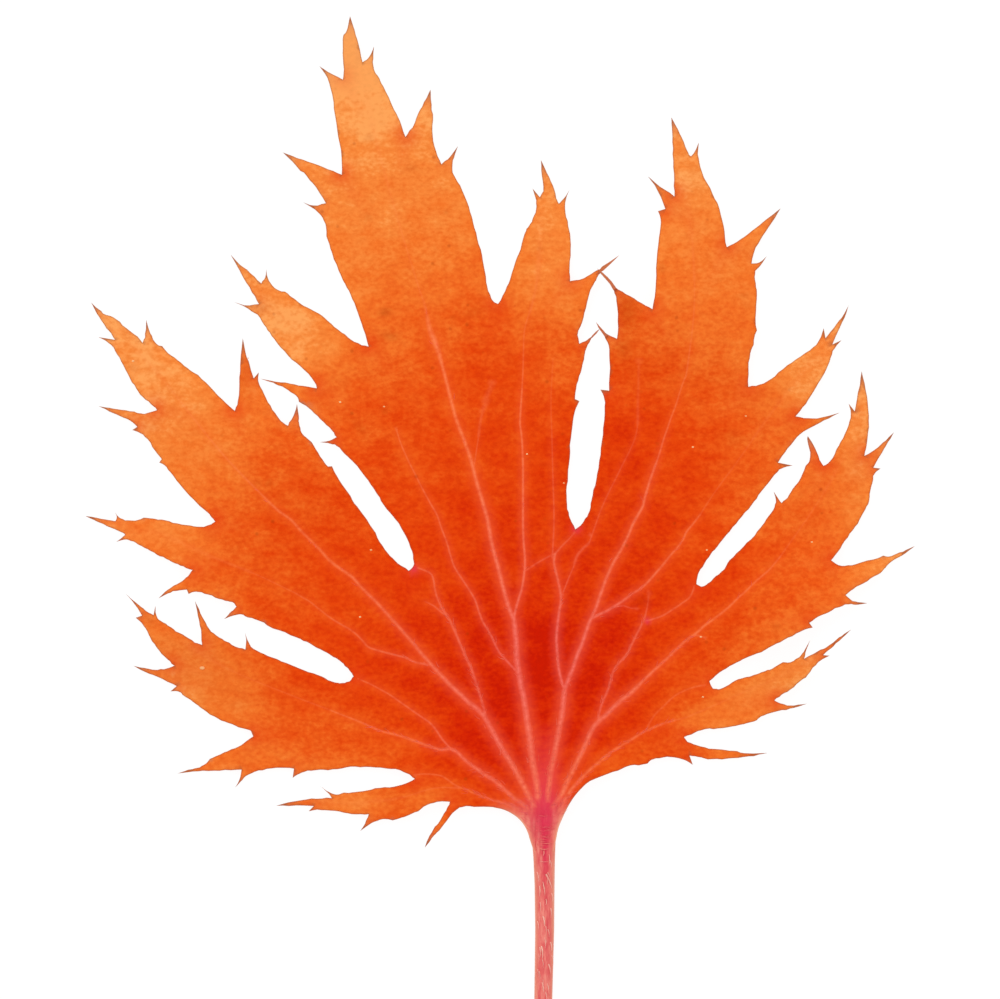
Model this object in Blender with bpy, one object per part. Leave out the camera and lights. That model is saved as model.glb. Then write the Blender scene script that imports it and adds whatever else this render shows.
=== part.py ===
"""Autumn leaf: one palmate maple-type leaf lying face up on a surface.

Row frame: the surface is z = 0 and +Z is up. The petiole (the stalk) points along -Y and the longest
lobe along +Y. The margin below is written in millimetres from the point where the blade meets the
petiole, then the whole leaf is moved so that its bounding box is centred on X and Y.
"""

import math

import bpy
import numpy as np
from mathutils import Vector
from mathutils.geometry import delaunay_2d_cdt

MM = 0.001

# Blade
BLADE_THICKNESS = 0.36
TOOTH_THICKNESS = 0.22  # at the end of a tooth
TOOTH_REACH = 2.5
GRID_PITCH = 2.6  # spacing of the points inside the margin
GRID_CLEARANCE = 0.9  # from the margin and from the ribs

# How the blade stands off the surface
RIB_ROOM = 0.80  # the ribs lift the blade by this much at its base, and less towards its lobes
RIB_ROOM_REACH = 78.0
CROWN_HEIGHT = 1.15  # more lift where the blade meets the petiole
CROWN_REACH = 15.0
TOUCH_BLEND = 0.9  # height over which a lifted part settles onto the surface
# Each wave: height, length and the direction it runs in (degrees), phase (degrees)
WAVES = ((0.85, 47.0, 24.0, 200.0), (0.75, 39.0, 118.0, 75.0), (0.40, 23.0, 71.0, 10.0))
WAVE_REST = -0.55
# Each lift: centre x, y, radius, height
LIFTS = (
    (-44.0, 50.0, 15.0, 1.7),
    (-19.0, 80.0, 17.0, 1.9),
    (13.0, 69.0, 13.0, 1.2),
    (33.0, 44.0, 12.0, 1.6),
    (31.0, 19.0, 10.0, 0.9),
    (-41.0, 20.0, 11.0, 1.1),
)

# Petiole, going down from the blade: y, half width, half height, centre x, height of its underside
PETIOLE = (
    (6.0, 0.45, 0.20, 0.35, 1.10),
    (4.0, 0.80, 0.32, 0.35, 1.00),
    (2.0, 1.15, 0.45, 0.36, 0.84),
    (0.0, 1.28, 0.60, 0.37, 0.62),
    (-1.8, 1.20, 0.72, 0.38, 0.42),
    (-3.8, 1.08, 0.80, 0.40, 0.26),
    (-6.5, 0.98, 0.86, 0.44, 0.12),
    (-11.0, 0.93, 0.88, 0.47, 0.04),
    (-18.0, 0.88, 0.87, 0.33, 0.0),
    (-25.0, 0.90, 0.88, -0.25, 0.0),
    (-30.5, 1.02, 0.96, -1.05, 0.0),
    (-33.6, 1.25, 1.12, -1.65, 0.0),
    (-35.0, 1.30, 1.15, -1.95, 0.0),
    (-35.5, 1.05, 0.95, -2.05, 0.20),
)
PETIOLE_SIDES = 20

# Ribs under the blade: depth and half width at the base, then the path from the base to the lobe's tip
RIB_FADE = 0.10  # what is left of a rib at its tip
RIBS = (
    (0.30, 0.50, ((-1.2, 0.6), (-3.5, 1.6), (-6.5, 2.7), (-10.0, 3.1), (-15.0, 1.9), (-20.0, 1.6))),
    (
        0.55,
        0.75,
        (
            (-0.9, 1.0),
            (-3.0, 2.6),
            (-5.5, 4.7),
            (-8.0, 6.3),
            (-11.0, 7.4),
            (-15.5, 8.9),
            (-20.2, 10.8),
            (-25.5, 12.7),
            (-31.0, 15.0),
            (-36.0, 17.9),
            (-39.2, 20.5),
        ),
    ),
    (
        0.70,
        0.85,
        (
            (-0.6, 2.2),
            (-2.0, 4.4),
            (-4.4, 8.3),
            (-8.0, 12.6),
            (-12.0, 16.9),
            (-15.5, 20.8),
            (-19.6, 24.9),
            (-23.4, 28.4),
            (-27.4, 31.9),
            (-31.3, 36.1),
            (-35.0, 40.6),
            (-38.4, 44.9),
            (-42.0, 48.9),
        ),
    ),
    (
        0.75,
        0.85,
        (
            (-0.1, 3.0),
            (-0.6, 6.4),
            (-1.2, 12.0),
            (-2.7, 22.0),
            (-6.0, 32.0),
            (-8.0, 39.0),
            (-10.0, 46.0),
            (-12.0, 52.5),
            (-14.2, 60.0),
            (-16.4, 68.0),
            (-17.9, 75.0),
        ),
    ),
    (
        0.45,
        0.60,
        (
            (0.4, 4.0),
            (0.0, 10.0),
            (-0.7, 17.0),
            (-1.6, 24.0),
            (-1.75, 33.0),
            (-1.8, 42.0),
            (-1.0, 50.0),
            (-0.2, 57.0),
            (0.2, 62.0),
        ),
    ),
    (
        0.70,
        0.80,
        (
            (0.9, 3.0),
            (1.5, 6.8),
            (2.7, 12.0),
            (4.7, 19.1),
            (6.7, 24.5),
            (9.1, 29.2),
            (11.0, 34.0),
            (12.8, 39.5),
            (14.5, 45.0),
            (15.4, 51.0),
            (15.3, 57.0),
            (14.6, 63.0),
        ),
    ),
    (
        0.65,
        0.80,
        (
            (1.3, 2.2),
            (3.4, 5.1),
            (5.9, 9.2),
            (9.0, 12.8),
            (13.0, 16.5),
            (17.5, 20.1),
            (21.0, 23.4),
            (24.0, 26.6),
            (27.3, 31.0),
            (30.0, 35.6),
            (31.7, 40.0),
        ),
    ),
    (
        0.50,
        0.70,
        (
            (1.4, 1.4),
            (4.1, 4.2),
            (7.5, 7.0),
            (11.0, 9.0),
            (15.0, 10.5),
            (20.0, 12.6),
            (24.5, 14.6),
            (28.0, 16.6),
        ),
    ),
)

# The margin, clockwise seen from above. A knot with a third entry is a sharp point: a tooth's tip or
# the corner of a small bump.
TIP = 1
LEFT_LOBE = (
    (-18.65, 14.35), (-18.8, 14.65), (-19.5, 15.4), (-20.1, 15.95), (-21.0, 16.52), (-22.0, 17.04),
    (-23.0, 17.62), (-24.0, 18.07), (-25.5, 18.73), (-27.3, 19.45), (-27.6, 19.72, TIP), (-28.2, 19.95),
    (-29.2, 20.28), (-30.0, 20.55), (-30.5, 20.48), (-31.0, 20.33), (-31.6, 20.08, TIP), (-31.25, 20.44),
    (-30.9, 20.82), (-30.55, 21.15), (-30.42, 21.45), (-30.6, 21.68), (-31.2, 21.87), (-32.1, 22.1),
    (-33.2, 22.55), (-34.2, 22.8), (-34.7, 22.79), (-35.15, 22.6, TIP), (-35.2, 22.86), (-35.75, 23.0),
    (-36.4, 22.9), (-37.2, 22.65), (-38.15, 22.16, TIP), (-37.5, 22.81), (-36.6, 23.42), (-35.8, 23.92),
    (-35.2, 24.38), (-34.87, 24.8), (-35.0, 25.08), (-35.7, 25.33), (-36.5, 25.69), (-37.4, 26.1),
    (-38.3, 26.55), (-39.25, 27.06), (-40.2, 27.55), (-40.9, 27.94), (-41.6, 28.02), (-42.4, 27.81, TIP),
    (-41.85, 28.22), (-41.53, 28.52), (-41.8, 28.75), (-42.6, 29.06), (-43.7, 29.58), (-44.6, 29.97),
    (-45.52, 30.4, TIP), (-44.6, 30.27), (-43.6, 30.07), (-42.8, 29.9), (-42.42, 30.03), (-42.35, 30.3),
    (-42.56, 30.78, TIP), (-42.25, 30.38), (-41.9, 30.12), (-41.3, 29.97), (-40.1, 30.04),
    (-39.65, 30.24, TIP), (-38.6, 30.13), (-37.5, 29.95), (-36.3, 29.66), (-35.0, 29.42), (-33.9, 29.34),
    (-33.1, 29.47), (-32.65, 29.72), (-32.65, 30.05), (-33.1, 30.6), (-34.0, 31.38), (-35.0, 32.38),
    (-36.0, 33.5), (-37.0, 34.8), (-37.6, 35.5), (-38.1, 35.75, TIP), (-37.85, 36.1), (-38.5, 36.9),
    (-39.3, 38.1), (-40.0, 38.7), (-40.8, 39.0, TIP), (-40.3, 39.32), (-41.0, 39.95), (-42.0, 40.35),
    (-43.1, 40.9), (-44.2, 41.4, TIP), (-43.1, 41.2), (-41.9, 41.05), (-40.6, 40.8), (-39.6, 40.66),
    (-38.7, 40.85), (-38.45, 41.2), (-38.9, 41.6), (-39.7, 42.25), (-40.4, 43.15), (-41.0, 44.15),
    (-41.7, 45.5), (-42.3, 46.6), (-42.9, 47.5), (-43.5, 47.95), (-44.2, 48.3, TIP), (-43.2, 48.12),
    (-42.6, 48.27), (-42.9, 48.65), (-43.6, 49.5), (-44.3, 50.65), (-44.9, 51.75, TIP), (-44.2, 51.1),
    (-43.4, 50.5), (-42.4, 50.05), (-41.4, 49.22), (-40.6, 48.6), (-40.0, 47.97), (-39.65, 47.95),
    (-39.47, 48.6), (-39.4, 50.05, TIP), (-39.1, 49.0), (-38.7, 48.1), (-38.2, 47.5),
    (-37.8, 47.4, TIP), (-37.2, 46.7), (-36.2, 45.98), (-35.3, 45.2), (-34.25, 44.5), (-33.0, 43.3),
    (-31.8, 42.05), (-30.8, 41.12), (-30.4, 41.18), (-30.2, 41.9), (-30.1, 43.6), (-30.0, 45.5),
    (-29.75, 48.2, TIP), (-29.45, 46.8), (-29.05, 45.4), (-28.7, 44.4), (-28.5, 44.25),
    (-28.25, 44.55, TIP), (-28.15, 43.9), (-27.8, 43.0), (-27.2, 41.8), (-26.5, 40.7), (-25.9, 39.9),
    (-25.4, 39.5), (-25.0, 39.8), (-24.7, 40.4), (-24.45, 41.0), (-24.3, 41.45, TIP), (-24.18, 40.7),
    (-24.12, 39.9), (-24.0, 39.2), (-23.7, 38.55), (-23.3, 38.18), (-22.85, 37.8, TIP), (-22.2, 36.75),
    (-21.5, 35.65), (-21.2, 35.35), (-20.8, 35.38, TIP), (-20.5, 34.7), (-19.75, 33.55), (-19.0, 32.38),
    (-18.3, 31.35), (-17.3, 30.0), (-16.5, 28.7), (-15.75, 27.35), (-15.0, 26.44), (-14.2, 25.66),
    (-13.5, 25.17),
)
MAIN_LOBE = (
    (-12.95, 25.05), (-12.7, 25.35), (-12.66, 26.1), (-12.95, 27.25), (-13.5, 28.5), (-14.15, 29.65),
    (-15.0, 30.7), (-15.9, 31.9), (-16.4, 32.8), (-17.25, 33.95), (-18.0, 35.05), (-18.8, 35.9),
    (-19.5, 36.6), (-20.1, 37.22), (-20.8, 37.6), (-22.06, 37.79, TIP), (-21.1, 37.93), (-20.6, 38.15),
    (-20.4, 38.45), (-20.8, 38.92), (-21.7, 39.83), (-22.6, 40.7), (-23.4, 41.33), (-24.1, 42.15),
    (-24.9, 42.78), (-25.8, 43.33), (-26.7, 43.7), (-27.7, 44.05, TIP), (-26.4, 43.85),
    (-25.0, 43.65), (-23.7, 43.42), (-22.8, 43.22), (-22.42, 43.5), (-22.8, 44.2), (-24.0, 45.4),
    (-25.2, 46.45), (-26.3, 47.75), (-27.1, 48.75), (-27.6, 49.55), (-28.3, 50.5), (-29.2, 51.12),
    (-30.75, 51.9, TIP), (-29.6, 51.5), (-28.6, 51.55), (-28.2, 51.85), (-28.8, 52.8), (-29.7, 54.25),
    (-30.3, 55.4), (-31.0, 56.6, TIP), (-30.0, 55.55), (-29.0, 54.75), (-28.2, 53.95), (-27.75, 53.8),
    (-27.5, 54.3), (-27.4, 55.1, TIP), (-27.25, 54.2), (-26.8, 53.5), (-25.9, 52.85), (-25.0, 52.45),
    (-23.7, 51.5), (-22.1, 50.65), (-21.2, 49.9), (-20.2, 49.05), (-19.2, 48.3), (-18.2, 47.65),
    (-17.6, 47.45), (-17.22, 47.75), (-17.5, 48.6), (-18.0, 50.05), (-18.6, 51.7), (-19.15, 52.95),
    (-19.7, 53.95), (-20.4, 55.55), (-21.0, 57.2), (-21.32, 58.4), (-21.5, 59.6), (-22.0, 60.6),
    (-23.7, 61.8, TIP), (-22.7, 61.48), (-21.8, 61.58), (-21.7, 62.2), (-22.4, 63.25), (-23.4, 64.45),
    (-24.2, 65.3), (-25.75, 66.8, TIP), (-24.3, 66.25), (-22.7, 65.7), (-21.2, 65.12), (-20.2, 64.65),
    (-19.78, 64.95), (-19.85, 66.3), (-20.2, 68.4), (-20.5, 70.4), (-20.8, 72.6), (-21.3, 74.3),
    (-22.1, 75.45, TIP), (-21.2, 74.85), (-20.2, 74.3), (-19.65, 74.3), (-19.65, 75.1), (-19.75, 76.7),
    (-19.65, 78.1), (-19.3, 79.1), (-19.0, 80.4, TIP), (-18.55, 79.0), (-18.15, 77.6), (-17.85, 76.1),
    (-17.6, 75.88), (-17.1, 76.3), (-16.6, 77.4, TIP), (-16.7, 76.2), (-16.6, 75.1), (-16.1, 74.2),
    (-15.4, 72.9), (-14.6, 71.1), (-14.0, 69.9), (-13.6, 68.7), (-13.3, 68.5), (-12.8, 69.3),
    (-12.2, 70.65), (-11.6, 71.8), (-10.95, 73.1, TIP), (-10.88, 71.6), (-10.75, 70.1), (-10.75, 68.5),
    (-10.4, 66.9), (-10.0, 65.8), (-9.6, 65.8), (-8.9, 66.5), (-8.2, 67.45, TIP), (-8.6, 66.3),
    (-8.8, 65.3), (-8.6, 64.5), (-8.0, 63.5), (-7.3, 61.9), (-6.8, 60.3), (-6.4, 58.7), (-5.95, 57.1),
    (-5.6, 55.4), (-5.35, 53.8), (-5.0, 52.5), (-4.6, 51.85),
)
SMALL_LOBE = (
    (-4.33, 51.65), (-4.0, 51.9), (-3.5, 52.9), (-3.0, 54.1), (-2.5, 55.75), (-1.95, 57.1), (-1.5, 58.7),
    (-1.15, 59.3), (-0.7, 60.15), (-0.4, 61.1), (-0.4, 62.0), (-0.75, 63.2, TIP), (-0.3, 62.6),
    (0.1, 62.42), (0.3, 62.9), (0.2, 64.4), (0.1, 66.05, TIP), (0.7, 64.75), (1.3, 63.5), (1.65, 62.2),
    (1.9, 61.68), (2.35, 62.1), (2.95, 63.05, TIP), (2.6, 62.1), (2.5, 61.2), (2.75, 59.9), (3.0, 58.6),
    (3.08, 57.0), (2.95, 55.3), (2.95, 54.2), (3.4, 53.95), (4.4, 54.2), (5.4, 54.8), (6.3, 55.3),
    (7.15, 55.9, TIP), (6.3, 55.0), (5.7, 54.25), (5.35, 53.5), (4.95, 52.7), (4.6, 51.2),
    (4.2, 49.8), (3.8, 48.5), (3.85, 47.85), (4.3, 47.8), (4.9, 48.15), (5.4, 48.6, TIP), (4.95, 47.8),
    (4.55, 46.9), (4.3, 45.6), (3.95, 44.4), (3.6, 43.1), (3.5, 42.1), (3.95, 41.9, TIP), (3.5, 40.9),
    (3.25, 39.4), (3.05, 37.5), (2.9, 35.6), (2.75, 33.9), (2.64, 32.4), (2.78, 31.1), (3.05, 30.1),
    (3.35, 29.4),
)
RIGHT_LOBE = (
    (3.7, 29.15), (4.0, 29.45), (4.55, 30.1), (4.95, 30.9), (5.15, 32.0), (5.5, 33.5), (5.85, 35.2),
    (6.1, 37.2), (6.35, 39.2), (6.48, 41.4), (6.38, 42.4), (6.05, 43.05, TIP), (6.7, 42.93),
    (6.95, 43.4), (6.97, 45.2), (6.93, 47.1), (6.6, 48.1), (6.1, 49.1, TIP), (6.7, 48.62),
    (7.4, 48.22), (7.8, 48.45), (7.8, 49.9), (7.65, 51.9), (7.35, 53.1), (6.75, 53.95, TIP),
    (7.3, 53.55), (7.85, 53.05), (9.0, 52.4), (10.2, 51.65), (10.95, 51.17), (11.35, 51.6),
    (11.55, 53.0), (11.62, 55.2), (11.8, 57.6), (12.05, 59.4), (12.0, 60.45), (11.8, 60.9, TIP),
    (12.3, 60.97), (12.3, 61.8), (11.8, 62.95), (10.8, 64.4, TIP), (12.0, 63.4), (13.0, 62.65),
    (13.5, 62.75), (13.42, 64.0), (13.32, 66.0), (13.3, 67.8), (13.2, 69.3), (13.15, 70.3, TIP),
    (13.8, 69.1), (14.4, 67.8), (14.85, 66.7), (15.1, 66.38), (15.45, 66.8), (15.9, 67.8, TIP),
    (15.83, 66.6), (16.05, 65.3), (16.7, 63.75), (17.5, 62.2), (18.1, 60.6), (18.45, 58.9),
    (18.6, 57.6), (18.85, 57.32), (19.7, 57.85), (20.8, 58.6), (22.0, 59.55), (23.0, 60.35),
    (24.1, 61.2, TIP), (23.2, 59.75), (22.3, 58.4), (21.6, 57.25), (21.22, 56.1), (21.4, 55.65),
    (21.95, 55.78), (22.7, 56.4, TIP), (22.1, 55.5), (21.6, 54.9), (21.5, 54.0), (21.7, 53.0),
    (21.6, 51.5), (21.58, 49.5), (21.45, 48.0), (21.05, 46.7), (20.85, 45.2), (20.82, 43.9),
    (21.1, 43.3), (22.0, 43.55), (23.0, 44.02), (24.3, 45.12), (25.6, 46.05), (27.0, 47.0),
    (27.9, 47.9), (28.4, 49.2, TIP), (28.47, 48.5), (28.75, 48.38), (29.4, 49.25), (30.2, 50.25),
    (30.9, 51.5, TIP), (30.5, 50.25), (29.85, 48.9), (29.42, 48.0), (29.6, 47.7), (30.2, 48.0, TIP),
    (29.5, 47.2), (29.1, 46.25), (28.7, 45.15), (27.9, 43.75), (27.1, 42.4), (26.3, 41.25),
    (25.72, 40.6), (25.9, 40.3), (26.9, 40.17), (28.2, 40.25), (30.0, 40.75, TIP), (28.9, 40.17),
    (27.6, 39.5), (26.4, 38.85), (25.4, 37.9), (24.5, 36.75), (23.95, 36.0), (24.2, 35.6),
    (25.3, 35.45, TIP), (24.4, 35.25), (23.8, 34.85), (22.9, 33.75), (21.9, 32.5), (21.2, 31.5),
    (20.2, 30.35), (19.3, 29.25), (18.3, 28.05), (17.5, 27.05), (16.9, 26.3), (16.25, 25.3),
    (15.83, 24.55),
)
RIGHT_LOWER_LOBE = (
    (15.67, 23.85), (15.8, 23.47), (16.15, 23.35), (16.8, 23.66), (17.6, 24.35), (18.4, 25.08),
    (19.0, 25.98), (20.0, 27.0), (21.1, 28.05), (22.1, 29.25), (23.0, 30.56), (23.5, 31.3),
    (23.6, 32.0), (23.38, 32.88, TIP), (23.75, 32.3), (24.05, 31.87), (24.3, 31.75), (24.75, 32.25),
    (25.3, 33.1), (26.1, 34.2), (26.6, 35.4), (26.98, 35.9), (26.95, 37.2), (26.75, 38.1),
    (26.8, 38.4, TIP), (27.3, 37.65), (27.85, 36.4), (28.2, 35.65), (28.5, 35.45), (29.0, 35.8),
    (29.7, 37.05), (30.3, 38.2), (30.9, 39.5), (31.12, 40.6), (30.9, 41.65, TIP), (31.3, 41.1),
    (31.6, 41.2), (31.85, 42.7), (32.2, 44.9, TIP), (32.6, 43.0), (32.88, 41.0), (32.9, 39.3),
    (32.7, 37.6), (32.48, 36.7), (32.9, 36.65), (33.8, 37.25), (34.6, 38.0), (35.45, 38.8, TIP),
    (34.85, 37.75), (34.2, 36.75), (33.6, 35.7), (33.55, 35.15), (34.1, 35.15, TIP), (33.55, 34.7),
    (33.25, 33.7), (33.0, 32.6), (32.95, 31.85), (32.55, 31.1), (32.0, 30.0), (31.3, 28.98),
    (30.5, 27.88), (29.8, 26.8), (29.3, 26.2), (29.22, 25.85), (29.6, 25.6), (30.5, 25.42),
    (31.5, 25.57), (32.7, 25.93), (33.8, 26.18), (34.35, 26.44, TIP), (34.9, 26.33), (35.7, 26.64),
    (36.6, 26.98), (37.56, 27.41, TIP), (36.6, 26.68), (35.5, 26.05), (34.7, 25.4), (34.3, 24.93),
    (33.5, 24.36), (32.3, 23.68), (31.3, 23.08), (30.7, 22.65), (30.66, 22.35), (31.0, 22.04),
    (31.8, 21.82), (32.73, 21.69, TIP), (31.7, 21.53), (30.8, 21.58), (29.9, 21.32), (28.8, 20.77),
    (27.8, 20.33), (27.1, 19.87), (27.0, 19.55), (27.25, 19.25, TIP), (26.5, 19.07), (25.2, 18.4),
    (24.0, 17.82), (22.9, 17.22), (22.1, 16.8), (21.0, 16.36), (20.0, 15.92), (19.0, 15.35),
    (18.0, 14.76), (17.35, 14.22),
)
LOWER_RIGHT_LOBE = (
    (17.02, 13.6), (17.2, 13.25), (17.65, 13.07), (18.3, 13.2), (19.2, 13.73), (20.2, 14.18),
    (21.4, 14.47), (22.5, 14.9), (23.2, 15.13), (24.3, 15.76), (25.0, 15.8), (25.9, 16.3),
    (26.35, 16.85), (27.0, 18.03, TIP), (26.65, 17.1), (26.42, 16.4), (26.8, 16.33), (27.8, 16.9),
    (28.6, 17.28), (29.6, 18.03), (30.4, 18.63), (31.1, 19.06, TIP), (30.2, 18.22), (29.3, 17.36),
    (28.6, 16.8), (28.3, 16.5), (28.94, 16.44, TIP), (28.1, 16.0), (27.3, 15.22), (26.8, 14.55),
    (26.0, 13.86), (25.0, 13.0), (24.2, 12.52), (23.65, 12.15), (23.75, 11.78), (24.4, 11.53),
    (25.4, 11.47), (26.73, 11.63, TIP), (25.4, 11.2), (24.2, 10.95), (23.1, 10.7), (22.1, 10.3),
    (21.38, 9.83), (20.4, 9.6), (19.2, 9.32), (17.8, 9.14), (16.5, 9.05), (15.5, 8.73), (14.7, 8.4),
    (14.47, 8.15), (14.8, 7.84), (15.7, 7.45), (16.9, 7.18), (18.3, 7.0), (19.3, 6.92), (20.5, 6.66),
    (22.8, 6.69, TIP), (21.4, 6.42), (19.8, 6.22), (18.2, 6.09), (16.8, 6.08), (15.8, 6.3),
    (15.3, 6.4), (15.02, 6.12), (15.29, 5.5, TIP), (14.7, 5.87), (13.9, 6.16), (12.7, 6.28),
    (11.6, 6.12), (10.9, 5.88), (10.3, 5.58), (9.0, 5.41), (7.8, 4.98), (6.3, 4.42), (5.0, 3.87),
    (4.1, 3.12), (3.4, 2.3), (2.75, 1.25), (2.25, 0.2), (1.85, -0.8), (1.55, -2.2), (1.2, -3.4),
)
LOWER_LEFT_LOBE = (
    (0.4, -3.9), (-0.4, -3.4), (-0.9, -2.3), (-1.35, -0.95), (-2.0, 0.0), (-2.8, 0.63), (-3.9, 1.12),
    (-5.2, 1.3), (-6.6, 1.34), (-7.8, 1.3), (-8.5, 0.93), (-9.1, 0.2), (-9.8, -0.7), (-10.6, -1.6),
    (-11.1, -2.25), (-11.53, -2.78, TIP), (-11.2, -1.85), (-10.7, -1.03), (-10.0, 0.0), (-9.4, 0.95),
    (-9.07, 1.6), (-9.3, 1.86), (-10.3, 1.8), (-11.3, 1.48), (-12.2, 0.9), (-13.2, 0.45),
    (-14.2, 0.1), (-14.75, -0.05, TIP), (-15.3, 0.07), (-16.3, -0.08), (-17.1, -0.5),
    (-17.98, -1.12, TIP), (-17.5, -0.35), (-17.2, 0.3), (-17.4, 0.6), (-18.4, 0.53), (-19.6, 0.72),
    (-21.0, 0.93), (-22.3, 1.0), (-23.15, 0.85, TIP), (-22.76, 1.2), (-23.0, 1.41), (-24.4, 1.44),
    (-26.4, 1.4, TIP), (-25.2, 1.73), (-23.7, 2.0), (-22.4, 2.12), (-21.2, 2.14), (-20.92, 2.35),
    (-21.2, 2.66), (-21.94, 3.35, TIP), (-21.1, 2.75), (-20.4, 2.54), (-19.6, 2.68), (-18.4, 2.78),
    (-17.4, 2.92), (-16.0, 3.22), (-14.6, 3.33), (-13.4, 3.65), (-12.8, 3.95), (-12.7, 4.28),
    (-13.1, 4.55), (-14.0, 4.93), (-15.4, 5.17), (-17.0, 5.29), (-18.5, 5.31), (-19.8, 5.17),
    (-21.2, 4.98), (-22.5, 4.99), (-23.6, 4.77), (-24.3, 4.5), (-24.75, 4.19, TIP), (-24.62, 4.8),
    (-24.8, 5.18), (-25.9, 5.22), (-27.3, 5.07), (-28.6, 4.77), (-29.4, 4.38), (-29.95, 3.8),
    (-30.53, 3.19, TIP), (-30.1, 3.95), (-29.93, 4.6), (-30.1, 5.07), (-31.5, 4.93), (-33.2, 4.89),
    (-34.7, 4.8), (-36.28, 4.63, TIP), (-35.2, 4.98), (-34.1, 5.28), (-33.4, 5.65),
    (-33.05, 6.08, TIP), (-32.0, 6.56), (-30.9, 7.02), (-29.9, 7.5), (-29.1, 8.05), (-28.75, 8.6),
    (-28.9, 8.92), (-29.8, 9.16), (-30.8, 9.54), (-31.9, 9.96), (-33.0, 10.55), (-34.0, 11.25),
    (-34.7, 11.8), (-35.5, 12.31), (-36.2, 12.83), (-36.98, 12.85, TIP), (-36.58, 13.15),
    (-36.6, 13.53), (-37.3, 13.84), (-38.4, 14.35), (-39.5, 14.77), (-40.69, 15.41, TIP),
    (-39.6, 15.16), (-38.3, 15.04), (-37.3, 15.13), (-36.78, 15.33), (-36.75, 15.58), (-37.3, 16.08),
    (-38.1, 16.92), (-38.8, 17.9), (-39.3, 18.87), (-39.85, 19.7), (-40.44, 20.22, TIP),
    (-39.92, 20.35), (-40.0, 20.78), (-40.5, 21.55), (-41.44, 22.63, TIP), (-40.6, 21.88),
    (-39.9, 21.33), (-39.2, 20.78), (-38.8, 20.53), (-38.57, 20.75), (-38.46, 21.44, TIP),
    (-38.35, 20.4), (-37.9, 19.88), (-37.2, 19.47), (-36.4, 18.9), (-35.4, 18.33), (-34.5, 17.78),
    (-34.0, 17.55), (-33.78, 17.75), (-33.95, 19.0), (-34.2, 20.4), (-34.5, 21.88, TIP),
    (-34.1, 21.05), (-33.6, 20.0), (-33.1, 19.1), (-32.4, 18.48), (-31.5, 17.92), (-30.4, 17.32),
    (-29.7, 17.07), (-29.43, 17.3), (-29.4, 18.0), (-29.5, 18.69, TIP), (-29.25, 17.95),
    (-28.9, 17.32), (-28.0, 16.76), (-26.8, 16.25), (-25.4, 15.68), (-23.7, 15.0), (-22.1, 14.46),
    (-21.2, 14.02), (-20.5, 13.73), (-19.8, 13.67), (-19.1, 13.9),
)
MARGIN = (
    LEFT_LOBE + MAIN_LOBE + SMALL_LOBE + RIGHT_LOBE + RIGHT_LOWER_LOBE + LOWER_RIGHT_LOBE + LOWER_LEFT_LOBE
)


def clear_scene():
    for obj in list(bpy.data.objects):
        bpy.data.objects.remove(obj, do_unlink=True)


def inside_margin(spots):
    """Which of the (x, y) spots lie inside the margin, by counting the edges to the right of each."""
    corners = np.array([knot[:2] for knot in MARGIN])
    x, y = spots[:, 0:1], spots[:, 1:2]
    x1, y1 = corners[:, 0], corners[:, 1]
    x2, y2 = np.roll(x1, -1), np.roll(y1, -1)
    level = (y1 > y) != (y2 > y)
    rise = np.where(y2 == y1, 1.0, y2 - y1)
    crossings = level & (x < x1 + (x2 - x1) * (y - y1) / rise)
    return crossings.sum(axis=1) % 2 == 1


def rib_lines():
    """Each rib's crest and its two feet, which the blade's triangles follow."""
    lines = []
    for _, half_width, path in RIBS:
        crest, left, right = [], [], []
        for i, (x, y) in enumerate(path):
            before, after = path[max(i - 1, 0)], path[min(i + 1, len(path) - 1)]
            along = Vector((after[0] - before[0], after[1] - before[1])).normalized()
            w = half_width * (1 - (1 - RIB_FADE) * i / (len(path) - 1))
            crest.append((x, y))
            left.append((x - along.y * w, y + along.x * w))
            right.append((x + along.y * w, y - along.x * w))
        lines += [crest, left, right]
    return lines


def rib_depths(points):
    """How far the ribs reach under the blade at each of the points."""
    depths = np.zeros(len(points))
    for depth, half_width, path in RIBS:
        last = len(path) - 1
        for i, (a, b) in enumerate(zip(path, path[1:])):
            a, b = np.array(a), np.array(b)
            t = np.clip((points - a) @ (b - a) / ((b - a) @ (b - a)), 0, 1)
            fade = 1 - (1 - RIB_FADE) * (i + t) / last
            gap = np.linalg.norm(points - (a + t[:, None] * (b - a)), axis=1)
            depths = np.maximum(depths, depth * fade * np.clip(1 - gap / (half_width * fade), 0, 1))
    return depths


def stand_off(points):
    """How far the underside of the blade, without its ribs, is over the surface."""
    x, y = points[:, 0], points[:, 1]
    r = np.hypot(x, y - 1.0)
    rise = np.full(len(points), WAVE_REST)
    for height, length, direction, phase in WAVES:
        turn = math.radians(direction)
        along = x * math.cos(turn) + y * math.sin(turn)
        rise += height * np.sin(2 * math.pi * along / length + math.radians(phase))
    for cx, cy, radius, height in LIFTS:
        rise += height * np.exp(-((x - cx) ** 2 + (y - cy) ** 2) / radius**2)
    crown = np.exp(-((r / CROWN_REACH) ** 2))
    rise = rise * (1 - crown) + CROWN_HEIGHT * crown
    settled = np.where(rise < TOUCH_BLEND, rise * rise / (2 * TOUCH_BLEND), rise - TOUCH_BLEND / 2)
    settled[rise <= 0] = 0
    return settled + RIB_ROOM * np.clip(1 - r / RIB_ROOM_REACH, 0, 1)


def thicknesses(points):
    """The blade thins towards the ends of its teeth."""
    tips = np.array([knot[:2] for knot in MARGIN if len(knot) == 3])
    gap = np.linalg.norm(points[:, None, :] - tips[None, :, :], axis=2).min(axis=1)
    return TOOTH_THICKNESS + (BLADE_THICKNESS - TOOTH_THICKNESS) * np.clip(gap / TOOTH_REACH, 0, 1)


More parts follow.
